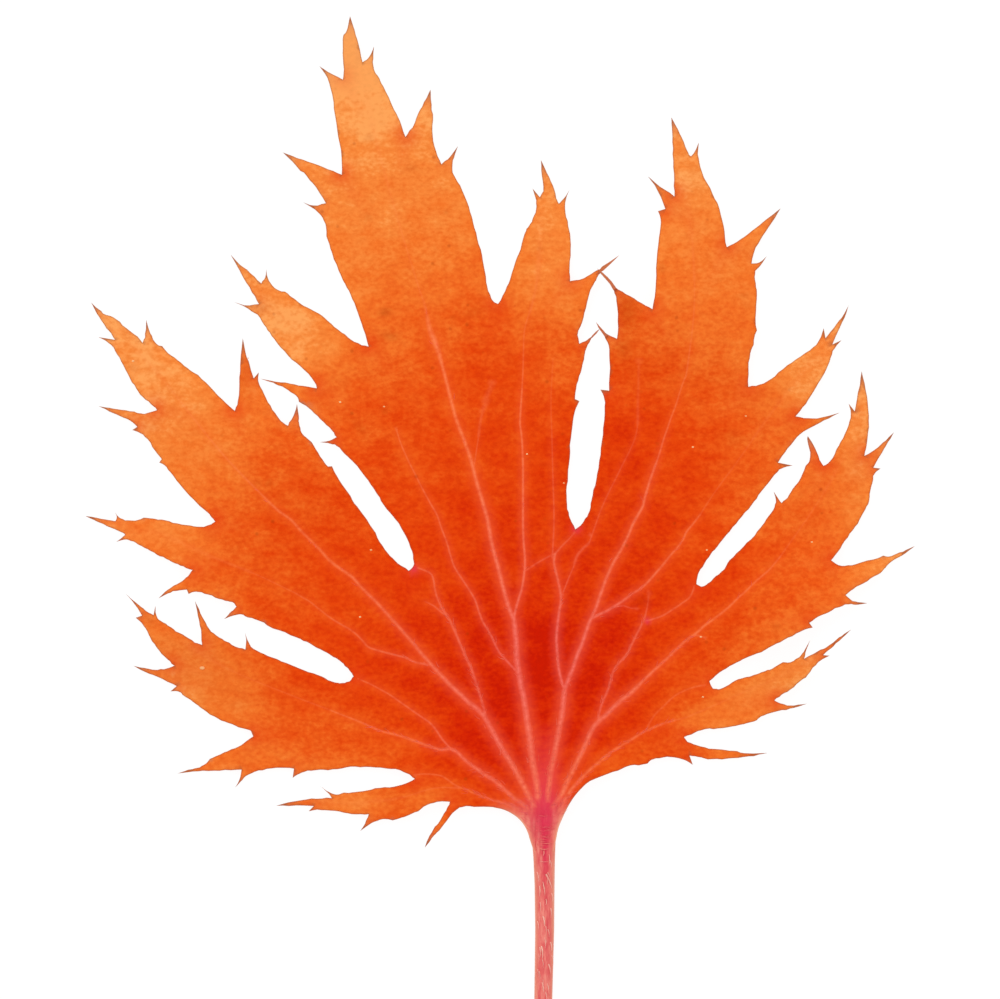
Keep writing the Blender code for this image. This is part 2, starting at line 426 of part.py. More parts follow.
def blade_points():
    """The blade's points and triangles in plan: the margin, the ribs' lines and a grid between them."""
    points = [knot[:2] for knot in MARGIN]
    edges = [(i, (i + 1) % len(MARGIN)) for i in range(len(MARGIN))]
    for line in rib_lines():
        first = len(points)
        points += line
        edges += [(first + i, first + i + 1) for i in range(len(line) - 1)]
    fixed = np.array(points)
    low, high = fixed.min(axis=0), fixed.max(axis=0)
    row_step = GRID_PITCH * math.sqrt(3) / 2
    for row in range(int((high[1] - low[1]) / row_step) + 1):
        for column in range(int((high[0] - low[0]) / GRID_PITCH) + 1):
            spot = low + ((column + 0.5 * (row % 2)) * GRID_PITCH, row * row_step)
            if np.linalg.norm(fixed - spot, axis=1).min() > GRID_CLEARANCE:
                points.append(tuple(spot))
    found = delaunay_2d_cdt([Vector(p) for p in points], edges, [], 0, 1e-4, False)
    points = np.array([tuple(v) for v in found[0]])
    triangles = np.array([tuple(face) for face in found[2]])
    return points, triangles[inside_margin(points[triangles].mean(axis=1))]


def make_blade():
    points, triangles = blade_points()
    used, index = np.unique(triangles, return_inverse=True)
    points = points[used]
    triangles = [tuple(int(i) for i in face) for face in index.reshape(-1, 3)]
    blade_under = stand_off(points)
    under = np.maximum(blade_under - rib_depths(points), 0)
    over = blade_under + thicknesses(points)

    count = len(points)
    sides = {}
    for a, b, c in triangles:
        for side in ((a, b), (b, c), (c, a)):
            sides[side] = sides.get(side, 0) + 1
    rim = [side for side in sides if (side[1], side[0]) not in sides]
    vertices = [(x * MM, y * MM, z * MM) for (x, y), z in zip(points, over)]
    vertices += [(x * MM, y * MM, z * MM) for (x, y), z in zip(points, under)]
    faces = list(triangles)
    faces += [(c + count, b + count, a + count) for a, b, c in triangles]
    faces += [(b, a, a + count, b + count) for a, b in rim]
    return make_object("leaf", vertices, faces)


def make_petiole():
    vertices, faces = [], []
    for y, half_width, half_height, x, underside in PETIOLE:
        for k in range(PETIOLE_SIDES):
            turn = 2 * math.pi * k / PETIOLE_SIDES
            z = underside + half_height * (1 + math.sin(turn))
            vertices.append(((x + half_width * math.cos(turn)) * MM, y * MM, z * MM))
    n = PETIOLE_SIDES
    for ring in range(len(PETIOLE) - 1):
        for k in range(n):
            a, b = ring * n + k, ring * n + (k + 1) % n
            faces.append((a, b, b + n, a + n))
    faces.append(tuple(reversed(range(n))))
    faces.append(tuple(range(len(vertices) - n, len(vertices))))
    return make_object("petiole", vertices, faces)


def make_object(name, vertices, faces):
    mesh = bpy.data.meshes.new(name)
    mesh.from_pydata(vertices, [], faces)
    mesh.validate()
    obj = bpy.data.objects.new(name, mesh)
    bpy.context.collection.objects.link(obj)
    bpy.ops.object.select_all(action="DESELECT")
    obj.select_set(True)
    bpy.context.view_layer.objects.active = obj
    bpy.ops.object.mode_set(mode="EDIT")
    bpy.ops.mesh.select_all(action="SELECT")
    bpy.ops.mesh.normals_make_consistent(inside=False)
    bpy.ops.object.mode_set(mode="OBJECT")
    return obj


def join(leaf, petiole):
    """Makes the petiole and the blade one solid, as they grow."""
    union = leaf.modifiers.new("petiole", "BOOLEAN")
    union.operation = "UNION"
    union.solver = "EXACT"
    union.object = petiole
    bpy.context.view_layer.objects.active = leaf
    bpy.ops.object.modifier_apply(modifier=union.name)
    bpy.data.objects.remove(petiole, do_unlink=True)


def centre(leaf):
    """Moves the leaf so that its bounding box is centred on X and Y and stands on z = 0."""
    points = [v.co for v in leaf.data.vertices]
    low = [min(p[i] for p in points) for i in range(3)]
    high = [max(p[i] for p in points) for i in range(3)]
    shift = Vector((-(low[0] + high[0]) / 2, -(low[1] + high[1]) / 2, -low[2]))
    for v in leaf.data.vertices:
        v.co += shift
    print("moved by", tuple(round(s / MM, 3) for s in shift), "size", tuple(round((h - l) / MM, 2) for h, l in zip(high, low)))


clear_scene()
leaf = make_blade()
join(leaf, make_petiole())
centre(leaf)
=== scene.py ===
"""Autumn leaf: the looks of one palmate maple-type leaf that lies face up on a surface.

Everything is written in millimetres from the point where the blade meets the stalk, with +Y towards
the tip of the main lobe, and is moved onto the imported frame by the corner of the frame's own box.
The blade is one closed skin: its margin is a smooth closed curve, its points follow the margin and
the veins, and its colours are mixed from masks that are worked out for each point.
"""

import logging
import math
import random
from dataclasses import dataclass
from enum import Enum

import bpy
import numpy as np
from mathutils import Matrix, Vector
from mathutils.geometry import delaunay_2d_cdt

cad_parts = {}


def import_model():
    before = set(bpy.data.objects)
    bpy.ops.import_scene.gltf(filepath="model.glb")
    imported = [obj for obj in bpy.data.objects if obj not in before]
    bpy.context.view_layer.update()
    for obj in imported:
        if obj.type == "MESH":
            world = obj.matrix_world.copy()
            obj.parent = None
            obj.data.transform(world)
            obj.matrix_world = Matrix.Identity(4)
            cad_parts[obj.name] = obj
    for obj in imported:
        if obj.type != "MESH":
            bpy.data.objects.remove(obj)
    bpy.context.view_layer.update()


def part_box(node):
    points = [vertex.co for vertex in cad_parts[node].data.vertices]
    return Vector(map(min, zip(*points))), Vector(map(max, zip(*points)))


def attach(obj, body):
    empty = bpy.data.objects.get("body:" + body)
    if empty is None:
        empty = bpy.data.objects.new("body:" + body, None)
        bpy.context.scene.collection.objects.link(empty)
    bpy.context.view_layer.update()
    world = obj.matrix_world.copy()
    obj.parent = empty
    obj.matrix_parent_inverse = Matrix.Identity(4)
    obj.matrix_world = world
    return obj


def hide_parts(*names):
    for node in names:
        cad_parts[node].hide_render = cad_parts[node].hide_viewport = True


LOG = logging.getLogger("autumn_leaf")
MM = 0.001
BODY = "root"
NODE = "leaf"
VIEW_CENTRE = (-4.0, 32.05)
# Where the main veins part, straight above the stalk.
PARTING_Y = 1.0

Point = tuple[float, float]
Colour = tuple[float, float, float, float]
Rows = tuple[tuple[float, ...], ...]
Faces = list[tuple[int, ...]]
Array = np.ndarray
Object = bpy.types.Object
Socket = bpy.types.NodeSocket

# The margin, clockwise seen from above. A knot with a third entry is a sharp point: a tooth's tip or
# the corner of a small bump.
TIP = 1
LEFT_LOBE = (
    (-18.65, 14.35), (-18.8, 14.65), (-19.5, 15.4), (-20.1, 15.95), (-21, 16.52), (-22, 17.04),
    (-23, 17.62), (-24, 18.07), (-25.5, 18.73), (-27.3, 19.45), (-27.6, 19.72, TIP), (-28.2, 19.95),
    (-29.2, 20.28), (-30, 20.55), (-30.5, 20.48), (-31, 20.33), (-31.6, 20.08, TIP), (-31.25, 20.44),
    (-30.9, 20.82), (-30.55, 21.15), (-30.42, 21.45), (-30.6, 21.68), (-31.2, 21.87), (-32.1, 22.1),
    (-33.2, 22.55), (-34.2, 22.8), (-34.7, 22.79), (-35.15, 22.6, TIP), (-35.2, 22.86), (-35.75, 23),
    (-36.4, 22.9), (-37.2, 22.65), (-38.15, 22.16, TIP), (-37.5, 22.81), (-36.6, 23.42), (-35.8, 23.92),
    (-35.2, 24.38), (-34.87, 24.8), (-35, 25.08), (-35.7, 25.33), (-36.5, 25.69), (-37.4, 26.1),
    (-38.3, 26.55), (-39.25, 27.06), (-40.2, 27.55), (-40.9, 27.94), (-41.6, 28.02), (-42.4, 27.81, TIP),
    (-41.85, 28.22), (-41.53, 28.52), (-41.8, 28.75), (-42.6, 29.06), (-43.7, 29.58), (-44.6, 29.97),
    (-45.52, 30.4, TIP), (-44.6, 30.27), (-43.6, 30.07), (-42.8, 29.9), (-42.42, 30.03), (-42.35, 30.3),
    (-42.56, 30.78, TIP), (-42.25, 30.38), (-41.9, 30.12), (-41.3, 29.97), (-40.1, 30.04),
    (-39.65, 30.24, TIP), (-38.6, 30.13), (-37.5, 29.95), (-36.3, 29.66), (-35, 29.42), (-33.9, 29.34),
    (-33.1, 29.47), (-32.65, 29.72), (-32.65, 30.05), (-33.1, 30.6), (-34, 31.38), (-35, 32.38),
    (-36, 33.5), (-37, 34.8), (-37.6, 35.5), (-38.1, 35.75, TIP), (-37.85, 36.1), (-38.5, 36.9),
    (-39.3, 38.1), (-40, 38.7), (-40.8, 39, TIP), (-40.3, 39.32), (-41, 39.95), (-42, 40.35), (-43.1, 40.9),
    (-44.2, 41.4, TIP), (-43.1, 41.2), (-41.9, 41.05), (-40.6, 40.8), (-39.6, 40.66), (-38.7, 40.85),
    (-38.45, 41.2), (-38.9, 41.6), (-39.7, 42.25), (-40.4, 43.15), (-41, 44.15), (-41.7, 45.5),
    (-42.3, 46.6), (-42.9, 47.5), (-43.5, 47.95), (-44.2, 48.3, TIP), (-43.2, 48.12), (-42.6, 48.27),
    (-42.9, 48.65), (-43.6, 49.5), (-44.3, 50.65), (-44.9, 51.75, TIP), (-44.2, 51.1), (-43.4, 50.5),
    (-42.4, 50.05), (-41.4, 49.22), (-40.6, 48.6), (-40, 47.97), (-39.65, 47.95), (-39.47, 48.6),
    (-39.4, 50.05, TIP), (-39.1, 49), (-38.7, 48.1), (-38.2, 47.5), (-37.8, 47.4, TIP), (-37.2, 46.7),
    (-36.2, 45.98), (-35.3, 45.2), (-34.25, 44.5), (-33, 43.3), (-31.8, 42.05), (-30.8, 41.12),
    (-30.4, 41.18), (-30.2, 41.9), (-30.1, 43.6), (-30, 45.5), (-29.75, 48.2, TIP), (-29.45, 46.8),
    (-29.05, 45.4), (-28.75, 44.4), (-28.52, 44.3), (-28.14, 44.78, TIP), (-28.2, 43.95), (-27.8, 43),
    (-27.2, 41.8), (-26.5, 40.7), (-25.9, 39.9), (-25.4, 39.5), (-25, 39.8), (-24.7, 40.4), (-24.45, 41),
    (-24.32, 41.62, TIP), (-24.18, 40.7), (-24.12, 39.9), (-24, 39.2), (-23.7, 38.55), (-23.3, 38.18),
    (-22.85, 37.8, TIP), (-22.2, 36.75), (-21.5, 35.65), (-21.2, 35.35), (-20.8, 35.38, TIP), (-20.5, 34.7),
    (-19.75, 33.55), (-19, 32.38), (-18.3, 31.35), (-17.3, 30), (-16.5, 28.7), (-15.75, 27.35),
    (-15, 26.44), (-14.2, 25.66), (-13.5, 25.17),
)
MAIN_LOBE = (
    (-12.95, 25.05), (-12.7, 25.35), (-12.66, 26.1), (-12.95, 27.25), (-13.5, 28.5), (-14.15, 29.65),
    (-15, 30.7), (-15.9, 31.9), (-16.4, 32.8), (-17.25, 33.95), (-18, 35.05), (-18.8, 35.9), (-19.5, 36.6),
    (-20.1, 37.22), (-20.8, 37.6), (-22.06, 37.79, TIP), (-21.1, 37.93), (-20.6, 38.15), (-20.4, 38.45),
    (-20.8, 38.92), (-21.7, 39.83), (-22.6, 40.7), (-23.4, 41.4), (-23.85, 41.66), (-24.12, 41.82, TIP),
    (-24.25, 42.25), (-24.9, 42.78), (-25.8, 43.33), (-26.7, 43.7), (-28, 44.14, TIP), (-26.4, 43.85),
    (-25, 43.65), (-23.7, 43.42), (-22.8, 43.22), (-22.42, 43.5), (-22.8, 44.2), (-24, 45.4),
    (-25.2, 46.45), (-26.3, 47.75), (-27.1, 48.75), (-27.6, 49.55), (-28.3, 50.5), (-29.2, 51.12),
    (-30.75, 51.9, TIP), (-29.6, 51.5), (-28.6, 51.55), (-28.2, 51.85), (-28.8, 52.8), (-29.7, 54.25),
    (-30.3, 55.4), (-31, 56.6, TIP), (-30, 55.55), (-29, 54.75), (-28.2, 53.95), (-27.75, 53.8),
    (-27.5, 54.3), (-27.4, 55.1, TIP), (-27.25, 54.2), (-26.8, 53.5), (-25.9, 52.85), (-25, 52.45),
    (-23.7, 51.5), (-22.1, 50.65), (-21.2, 49.9), (-20.2, 49.05), (-19.2, 48.3), (-18.2, 47.65),
    (-17.6, 47.45), (-17.22, 47.75), (-17.5, 48.6), (-18, 50.05), (-18.6, 51.7), (-19.15, 52.95),
    (-19.7, 53.95), (-20.4, 55.55), (-21, 57.2), (-21.32, 58.4), (-21.5, 59.6), (-22, 60.6),
    (-23.7, 61.8, TIP), (-22.7, 61.48), (-21.8, 61.58), (-21.7, 62.2), (-22.4, 63.25), (-23.4, 64.45),
    (-24.2, 65.3), (-25.75, 66.8, TIP), (-24.3, 66.25), (-22.7, 65.7), (-21.2, 65.12), (-20.2, 64.65),
    (-19.78, 64.95), (-19.85, 66.3), (-20.2, 68.4), (-20.5, 70.4), (-20.8, 72.6), (-21.3, 74.3),
    (-22.1, 75.45, TIP), (-21.2, 74.85), (-20.2, 74.3), (-19.65, 74.3), (-19.65, 75.1), (-19.75, 76.7),
    (-19.65, 78.1), (-19.3, 79.1), (-19, 80.4, TIP), (-18.55, 79), (-18.15, 77.6), (-17.85, 76.1),
    (-17.6, 75.88), (-17.1, 76.3), (-16.6, 77.4, TIP), (-16.7, 76.2), (-16.6, 75.1), (-16.1, 74.2),
    (-15.4, 72.9), (-14.6, 71.1), (-14, 69.9), (-13.6, 68.7), (-13.3, 68.5), (-12.8, 69.3), (-12.2, 70.65),
    (-11.6, 71.8), (-10.95, 73.1, TIP), (-10.88, 71.6), (-10.75, 70.1), (-10.75, 68.5), (-10.4, 66.9),
    (-10, 65.8), (-9.6, 65.8), (-8.9, 66.5), (-8.2, 67.45, TIP), (-8.6, 66.3), (-8.8, 65.3), (-8.6, 64.5),
    (-8, 63.5), (-7.3, 61.9), (-6.8, 60.3), (-6.4, 58.7), (-5.95, 57.1), (-5.6, 55.4), (-5.35, 53.8),
    (-5, 52.5), (-4.6, 51.85),
)
SMALL_LOBE = (
    (-4.33, 51.65), (-4, 51.9), (-3.5, 52.9), (-3, 54.1), (-2.5, 55.75), (-1.95, 57.1), (-1.5, 58.7),
    (-1.15, 59.3), (-0.7, 60.15), (-0.4, 61.1), (-0.4, 62), (-0.75, 63.2, TIP), (-0.3, 62.6), (0.1, 62.42),
    (0.3, 62.9), (0.2, 64.4), (0.1, 66.05, TIP), (0.7, 64.75), (1.3, 63.5), (1.65, 62.2), (1.9, 61.68),
    (2.35, 62.1), (2.95, 63.05, TIP), (2.6, 62.1), (2.5, 61.2), (2.75, 59.9), (3, 58.6), (3.08, 57),
    (2.95, 55.3), (2.95, 54.2), (3.4, 53.95), (4.4, 54.2), (5.4, 54.8), (6.3, 55.3), (7.15, 55.9, TIP),
    (6.3, 55), (5.7, 54.25), (5.35, 53.5), (4.95, 52.7), (4.6, 51.2), (4.2, 49.8), (3.8, 48.5),
    (3.85, 47.85), (4.3, 47.8), (4.9, 48.15), (5.4, 48.6, TIP), (4.95, 47.8), (4.55, 46.9), (4.3, 45.6),
    (3.95, 44.4), (3.6, 43.1), (3.5, 42.1), (3.95, 41.9, TIP), (3.5, 40.9), (3.25, 39.4), (3.05, 37.5),
    (2.9, 35.6), (2.75, 33.9), (2.64, 32.4), (2.78, 31.1), (3.05, 30.1), (3.35, 29.4),
)
RIGHT_LOBE = (
    (3.7, 29.15), (4, 29.45), (4.55, 30.1), (4.95, 30.9), (5.15, 32), (5.5, 33.5), (5.85, 35.2),
    (6.1, 37.2), (6.35, 39.2), (6.48, 41.4), (6.38, 42.4), (6.05, 43.05, TIP), (6.7, 42.93), (6.95, 43.4),
    (6.97, 45.2), (6.93, 47.1), (6.6, 48.1), (6.1, 49.1, TIP), (6.7, 48.62), (7.4, 48.22), (7.8, 48.45),
    (7.8, 49.9), (7.65, 51.9), (7.35, 53.1), (6.75, 53.95, TIP), (7.3, 53.55), (7.85, 53.05), (9, 52.4),
    (10.2, 51.65), (10.95, 51.17), (11.35, 51.6), (11.55, 53), (11.62, 55.2), (11.8, 57.6), (12.05, 59.4),
    (12, 60.45), (11.8, 60.9, TIP), (12.3, 60.97), (12.3, 61.8), (11.8, 62.95), (10.8, 64.4, TIP),
    (12, 63.4), (13, 62.65), (13.5, 62.75), (13.42, 64), (13.32, 66), (13.3, 67.8), (13.2, 69.3),
    (13.15, 70.3, TIP), (13.8, 69.1), (14.4, 67.8), (14.85, 66.7), (15.1, 66.38), (15.45, 66.8),
    (15.9, 67.8, TIP), (15.83, 66.6), (16.05, 65.3), (16.7, 63.75), (17.5, 62.2), (18.1, 60.6),
    (18.45, 58.9), (18.6, 57.6), (18.85, 57.32), (19.7, 57.85), (20.8, 58.6), (22, 59.55), (23, 60.35),
    (24.1, 61.2, TIP), (23.2, 59.75), (22.3, 58.4), (21.6, 57.25), (21.22, 56.1), (21.4, 55.65),
    (21.95, 55.78), (22.7, 56.4, TIP), (22.1, 55.5), (21.6, 54.9), (21.5, 54), (21.7, 53), (21.6, 51.5),
    (21.58, 49.5), (21.45, 48), (21.05, 46.7), (20.85, 45.2), (20.82, 43.9), (21.1, 43.3), (22, 43.55),
    (23, 44.02), (24.3, 45.12), (25.6, 46.05), (27, 47), (27.9, 47.9), (28.4, 49.2, TIP), (28.47, 48.5),
    (28.75, 48.38), (29.4, 49.25), (30.2, 50.25), (30.9, 51.5, TIP), (30.5, 50.25), (29.85, 48.9),
    (29.42, 48), (29.6, 47.7), (30.2, 48, TIP), (29.5, 47.2), (29.1, 46.25), (28.7, 45.15), (27.9, 43.75),
    (27.1, 42.4), (26.3, 41.25), (25.72, 40.6), (25.9, 40.3), (26.9, 40.17), (28.2, 40.25),
    (30, 40.75, TIP), (28.9, 40.17), (27.6, 39.5), (26.4, 38.85), (25.4, 37.9), (24.5, 36.75), (23.95, 36),
    (24.2, 35.6), (25.3, 35.45, TIP), (24.4, 35.25), (23.8, 34.85), (22.9, 33.75), (21.9, 32.5),
    (21.2, 31.5), (20.2, 30.35), (19.3, 29.25), (18.3, 28.05), (17.5, 27.05), (16.9, 26.3), (16.25, 25.3),
    (15.83, 24.55),
)
RIGHT_LOWER_LOBE = (
    (15.67, 23.85), (15.8, 23.47), (16.15, 23.35), (16.8, 23.66), (17.6, 24.35), (18.4, 25.08), (19, 25.98),
    (20, 27), (21.1, 28.05), (22.1, 29.25), (23, 30.56), (23.5, 31.3), (23.6, 32), (23.38, 32.88, TIP),
    (23.75, 32.3), (24.05, 31.87), (24.3, 31.75), (24.75, 32.25), (25.3, 33.1), (26.1, 34.2), (26.6, 35.4),
    (26.98, 35.9), (26.95, 37.2), (26.75, 38.1), (26.8, 38.4, TIP), (27.3, 37.65), (27.85, 36.4),
    (28.2, 35.65), (28.5, 35.45), (29, 35.8), (29.7, 37.05), (30.3, 38.2), (30.9, 39.5), (31.12, 40.6),
    (30.9, 41.65, TIP), (31.3, 41.1), (31.6, 41.2), (31.85, 42.7), (32.2, 44.9, TIP), (32.6, 43),
    (32.88, 41), (32.9, 39.3), (32.7, 37.6), (32.48, 36.7), (32.9, 36.65), (33.8, 37.25), (34.6, 38),
    (35.45, 38.8, TIP), (34.85, 37.75), (34.2, 36.75), (33.6, 35.7), (33.55, 35.15), (34.1, 35.15, TIP),
    (33.55, 34.7), (33.25, 33.7), (33, 32.6), (32.95, 31.85), (32.55, 31.1), (32, 30), (31.3, 28.98),
    (30.5, 27.88), (29.8, 26.8), (29.3, 26.2), (29.22, 25.85), (29.6, 25.6), (30.5, 25.42), (31.5, 25.57),
    (32.7, 25.93), (33.8, 26.18), (34.35, 26.44, TIP), (34.9, 26.33), (35.7, 26.64), (36.6, 26.98),
    (37.56, 27.41, TIP), (36.6, 26.68), (35.5, 26.05), (34.7, 25.4), (34.3, 24.93), (33.5, 24.36),
    (32.3, 23.68), (31.3, 23.08), (30.7, 22.65), (30.66, 22.35), (31, 22.04), (31.8, 21.82),
    (32.73, 21.69, TIP), (31.7, 21.53), (30.8, 21.58), (29.9, 21.32), (28.8, 20.77), (27.8, 20.33),
    (27.1, 19.87), (27, 19.55), (27.25, 19.25, TIP), (26.5, 19.07), (25.2, 18.4), (24, 17.82),
    (22.9, 17.22), (22.1, 16.8), (21, 16.36), (20, 15.92), (19, 15.35), (18, 14.76), (17.35, 14.22),
)
LOWER_RIGHT_LOBE = (
    (17.02, 13.6), (17.2, 13.25), (17.65, 13.07), (18.3, 13.2), (19.2, 13.73), (20.2, 14.18), (21.4, 14.47),
    (22.5, 14.9), (23.2, 15.13), (24.3, 15.76), (25, 15.8), (25.9, 16.3), (26.35, 16.85), (27, 18.03, TIP),
    (26.65, 17.1), (26.42, 16.4), (26.8, 16.33), (27.8, 16.9), (28.6, 17.28), (29.6, 18.03), (30.4, 18.63),
    (31.1, 19.06, TIP), (30.2, 18.22), (29.3, 17.36), (28.6, 16.8), (28.3, 16.5), (28.94, 16.44, TIP),
    (28.1, 16), (27.3, 15.22), (26.8, 14.55), (26, 13.86), (25, 13), (24.2, 12.52), (23.65, 12.15),
    (23.75, 11.78), (24.4, 11.53), (25.4, 11.47), (26.73, 11.63, TIP), (25.4, 11.2), (24.2, 10.95),
    (23.1, 10.7), (22.1, 10.3), (21.38, 9.83), (20.4, 9.6), (19.2, 9.32), (17.8, 9.14), (16.5, 9.05),
    (15.5, 8.73), (14.7, 8.4), (14.47, 8.15), (14.8, 7.84), (15.7, 7.45), (16.9, 7.18), (18.3, 7),
    (19.3, 6.92), (20.5, 6.66), (22.8, 6.69, TIP), (21.4, 6.42), (19.8, 6.22), (18.2, 6.09), (16.8, 6.08),
    (15.8, 6.3), (15.3, 6.4), (15.02, 6.12), (15.29, 5.5, TIP), (14.7, 5.87), (13.9, 6.16), (12.7, 6.28),
    (11.6, 6.12), (10.9, 5.88), (10.3, 5.58), (9, 5.41), (7.8, 4.98), (6.3, 4.42), (5, 3.87), (4.1, 3.12),
    (3.4, 2.3), (2.75, 1.25), (2.25, 0.2), (1.85, -0.8), (1.55, -2.2), (1.2, -3.4),
)
LOWER_LEFT_LOBE = (
    (0.4, -3.9), (-0.4, -3.4), (-0.9, -2.3), (-1.35, -0.95), (-2, 0), (-2.8, 0.63), (-3.9, 1.12),
    (-5.2, 1.3), (-6.6, 1.34), (-7.8, 1.3), (-8.5, 0.93), (-9.1, 0.2), (-9.8, -0.7), (-10.6, -1.6),
    (-11.1, -2.25), (-11.53, -2.78, TIP), (-11.2, -1.85), (-10.7, -1.03), (-10, 0), (-9.4, 0.95),
    (-9.07, 1.6), (-9.3, 1.86), (-10.3, 1.8), (-11.3, 1.48), (-12.2, 0.9), (-13.2, 0.45), (-14.2, 0.1),
    (-14.75, -0.05, TIP), (-15.3, 0.07), (-16.3, -0.08), (-17.1, -0.5), (-17.98, -1.12, TIP),
    (-17.5, -0.35), (-17.2, 0.3), (-17.4, 0.6), (-18.4, 0.53), (-19.6, 0.72), (-21, 0.93), (-22.3, 1),
    (-23.15, 0.85, TIP), (-22.76, 1.2), (-23, 1.41), (-24.4, 1.44), (-26.4, 1.4, TIP), (-25.2, 1.73),
    (-23.7, 2), (-22.4, 2.12), (-21.2, 2.14), (-20.92, 2.35), (-21.2, 2.66), (-21.94, 3.35, TIP),
    (-21.1, 2.75), (-20.4, 2.54), (-19.6, 2.68), (-18.4, 2.78), (-17.4, 2.92), (-16, 3.22), (-14.6, 3.33),
    (-13.4, 3.65), (-12.8, 3.95), (-12.7, 4.28), (-13.1, 4.55), (-14, 4.93), (-15.4, 5.17), (-17, 5.29),
    (-18.5, 5.31), (-19.8, 5.17), (-21.2, 4.98), (-22.5, 4.99), (-23.6, 4.77), (-24.3, 4.5),
    (-24.75, 4.19, TIP), (-24.62, 4.8), (-24.8, 5.18), (-25.9, 5.22), (-27.3, 5.07), (-28.6, 4.77),
    (-29.4, 4.38), (-29.95, 3.8), (-30.53, 3.19, TIP), (-30.1, 3.95), (-29.93, 4.6), (-30.1, 5.07),
    (-31.5, 4.93), (-33.2, 4.89), (-34.7, 4.8), (-36.28, 4.63, TIP), (-35.2, 4.98), (-34.1, 5.28),
    (-33.4, 5.65), (-33.05, 6.08, TIP), (-32, 6.56), (-30.9, 7.02), (-29.9, 7.5), (-29.1, 8.05),
    (-28.75, 8.6), (-28.9, 8.92), (-29.8, 9.16), (-30.8, 9.54), (-31.9, 9.96), (-33, 10.55), (-34, 11.25),
    (-34.7, 11.8), (-35.5, 12.31), (-36.2, 12.83), (-36.98, 12.85, TIP), (-36.58, 13.15), (-36.6, 13.53),
    (-37.3, 13.84), (-38.4, 14.35), (-39.5, 14.77), (-40.69, 15.41, TIP), (-39.6, 15.16), (-38.3, 15.04),
    (-37.3, 15.13), (-36.78, 15.33), (-36.75, 15.58), (-37.3, 16.08), (-38.1, 16.92), (-38.8, 17.9),
    (-39.3, 18.87), (-39.85, 19.7), (-40.44, 20.22, TIP), (-39.92, 20.35), (-40, 20.78), (-40.5, 21.55),
    (-41.44, 22.63, TIP), (-40.6, 21.88), (-39.9, 21.33), (-39.2, 20.78), (-38.8, 20.53), (-38.57, 20.75),
    (-38.46, 21.44, TIP), (-38.35, 20.4), (-37.9, 19.88), (-37.2, 19.47), (-36.4, 18.9), (-35.4, 18.33),
    (-34.5, 17.78), (-34, 17.55), (-33.78, 17.75), (-33.95, 19), (-34.2, 20.4), (-34.5, 21.88, TIP),
    (-34.1, 21.05), (-33.6, 20), (-33.1, 19.1), (-32.4, 18.48), (-31.5, 17.92), (-30.4, 17.32),
    (-29.7, 17.07), (-29.43, 17.3), (-29.4, 18), (-29.5, 18.69, TIP), (-29.25, 17.95), (-28.9, 17.32),
    (-28, 16.76), (-26.8, 16.25), (-25.4, 15.68), (-23.7, 15), (-22.1, 14.46), (-21.2, 14.02),
    (-20.5, 13.73), (-19.8, 13.67), (-19.1, 13.9),
)
MARGIN = (
    LEFT_LOBE + MAIN_LOBE + SMALL_LOBE + RIGHT_LOBE + RIGHT_LOWER_LOBE + LOWER_RIGHT_LOBE + LOWER_LEFT_LOBE
)

# The ends of the teeth that cross a neighbour's: the outline of each, and how much higher it lies.
LONG_TEETH = (
    (((6.2, 55.35), (7, 55.85), (7.95, 56.5), (7.05, 55.6), (6.35, 54.95), (5.6, 54.55)), 0.0),
    (((7.62, 53.2), (7.2, 53.8), (6.75, 54.3), (6.25, 54.75), (5.7, 55.15), (6.1, 54.6), (6.55, 54.1),
      (6.98, 53.6), (7.35, 52.95)), 0.42),
    (((5.2, 48.45), (5.6, 48.85), (6.05, 49.2), (5.65, 48.65), (5.2, 48.2)), 0.0),
    (((6.75, 48.45), (6.35, 48.95), (5.98, 49.35), (5.6, 49.8), (5.83, 49.25), (6.15, 48.8),
      (6.5, 48.3)), 0.30),
)


@dataclass(frozen=True)
class Vein:
    """One vein: its path, and how wide, pale and deep it is where it starts and where it ends.

    Attributes:
        path: The points it runs through, from the stalk outwards.
        width: Width of the pale line at its start and its end, in millimetres.
        pale: How strongly it shows on the upper side at its start and its end, from 0 to 1.
        depth: How far it stands out under the blade at its start and its end, in millimetres.
    """

    path: tuple[Point, ...]
    width: tuple[float, float]
    pale: tuple[float, float]
    depth: tuple[float, float]


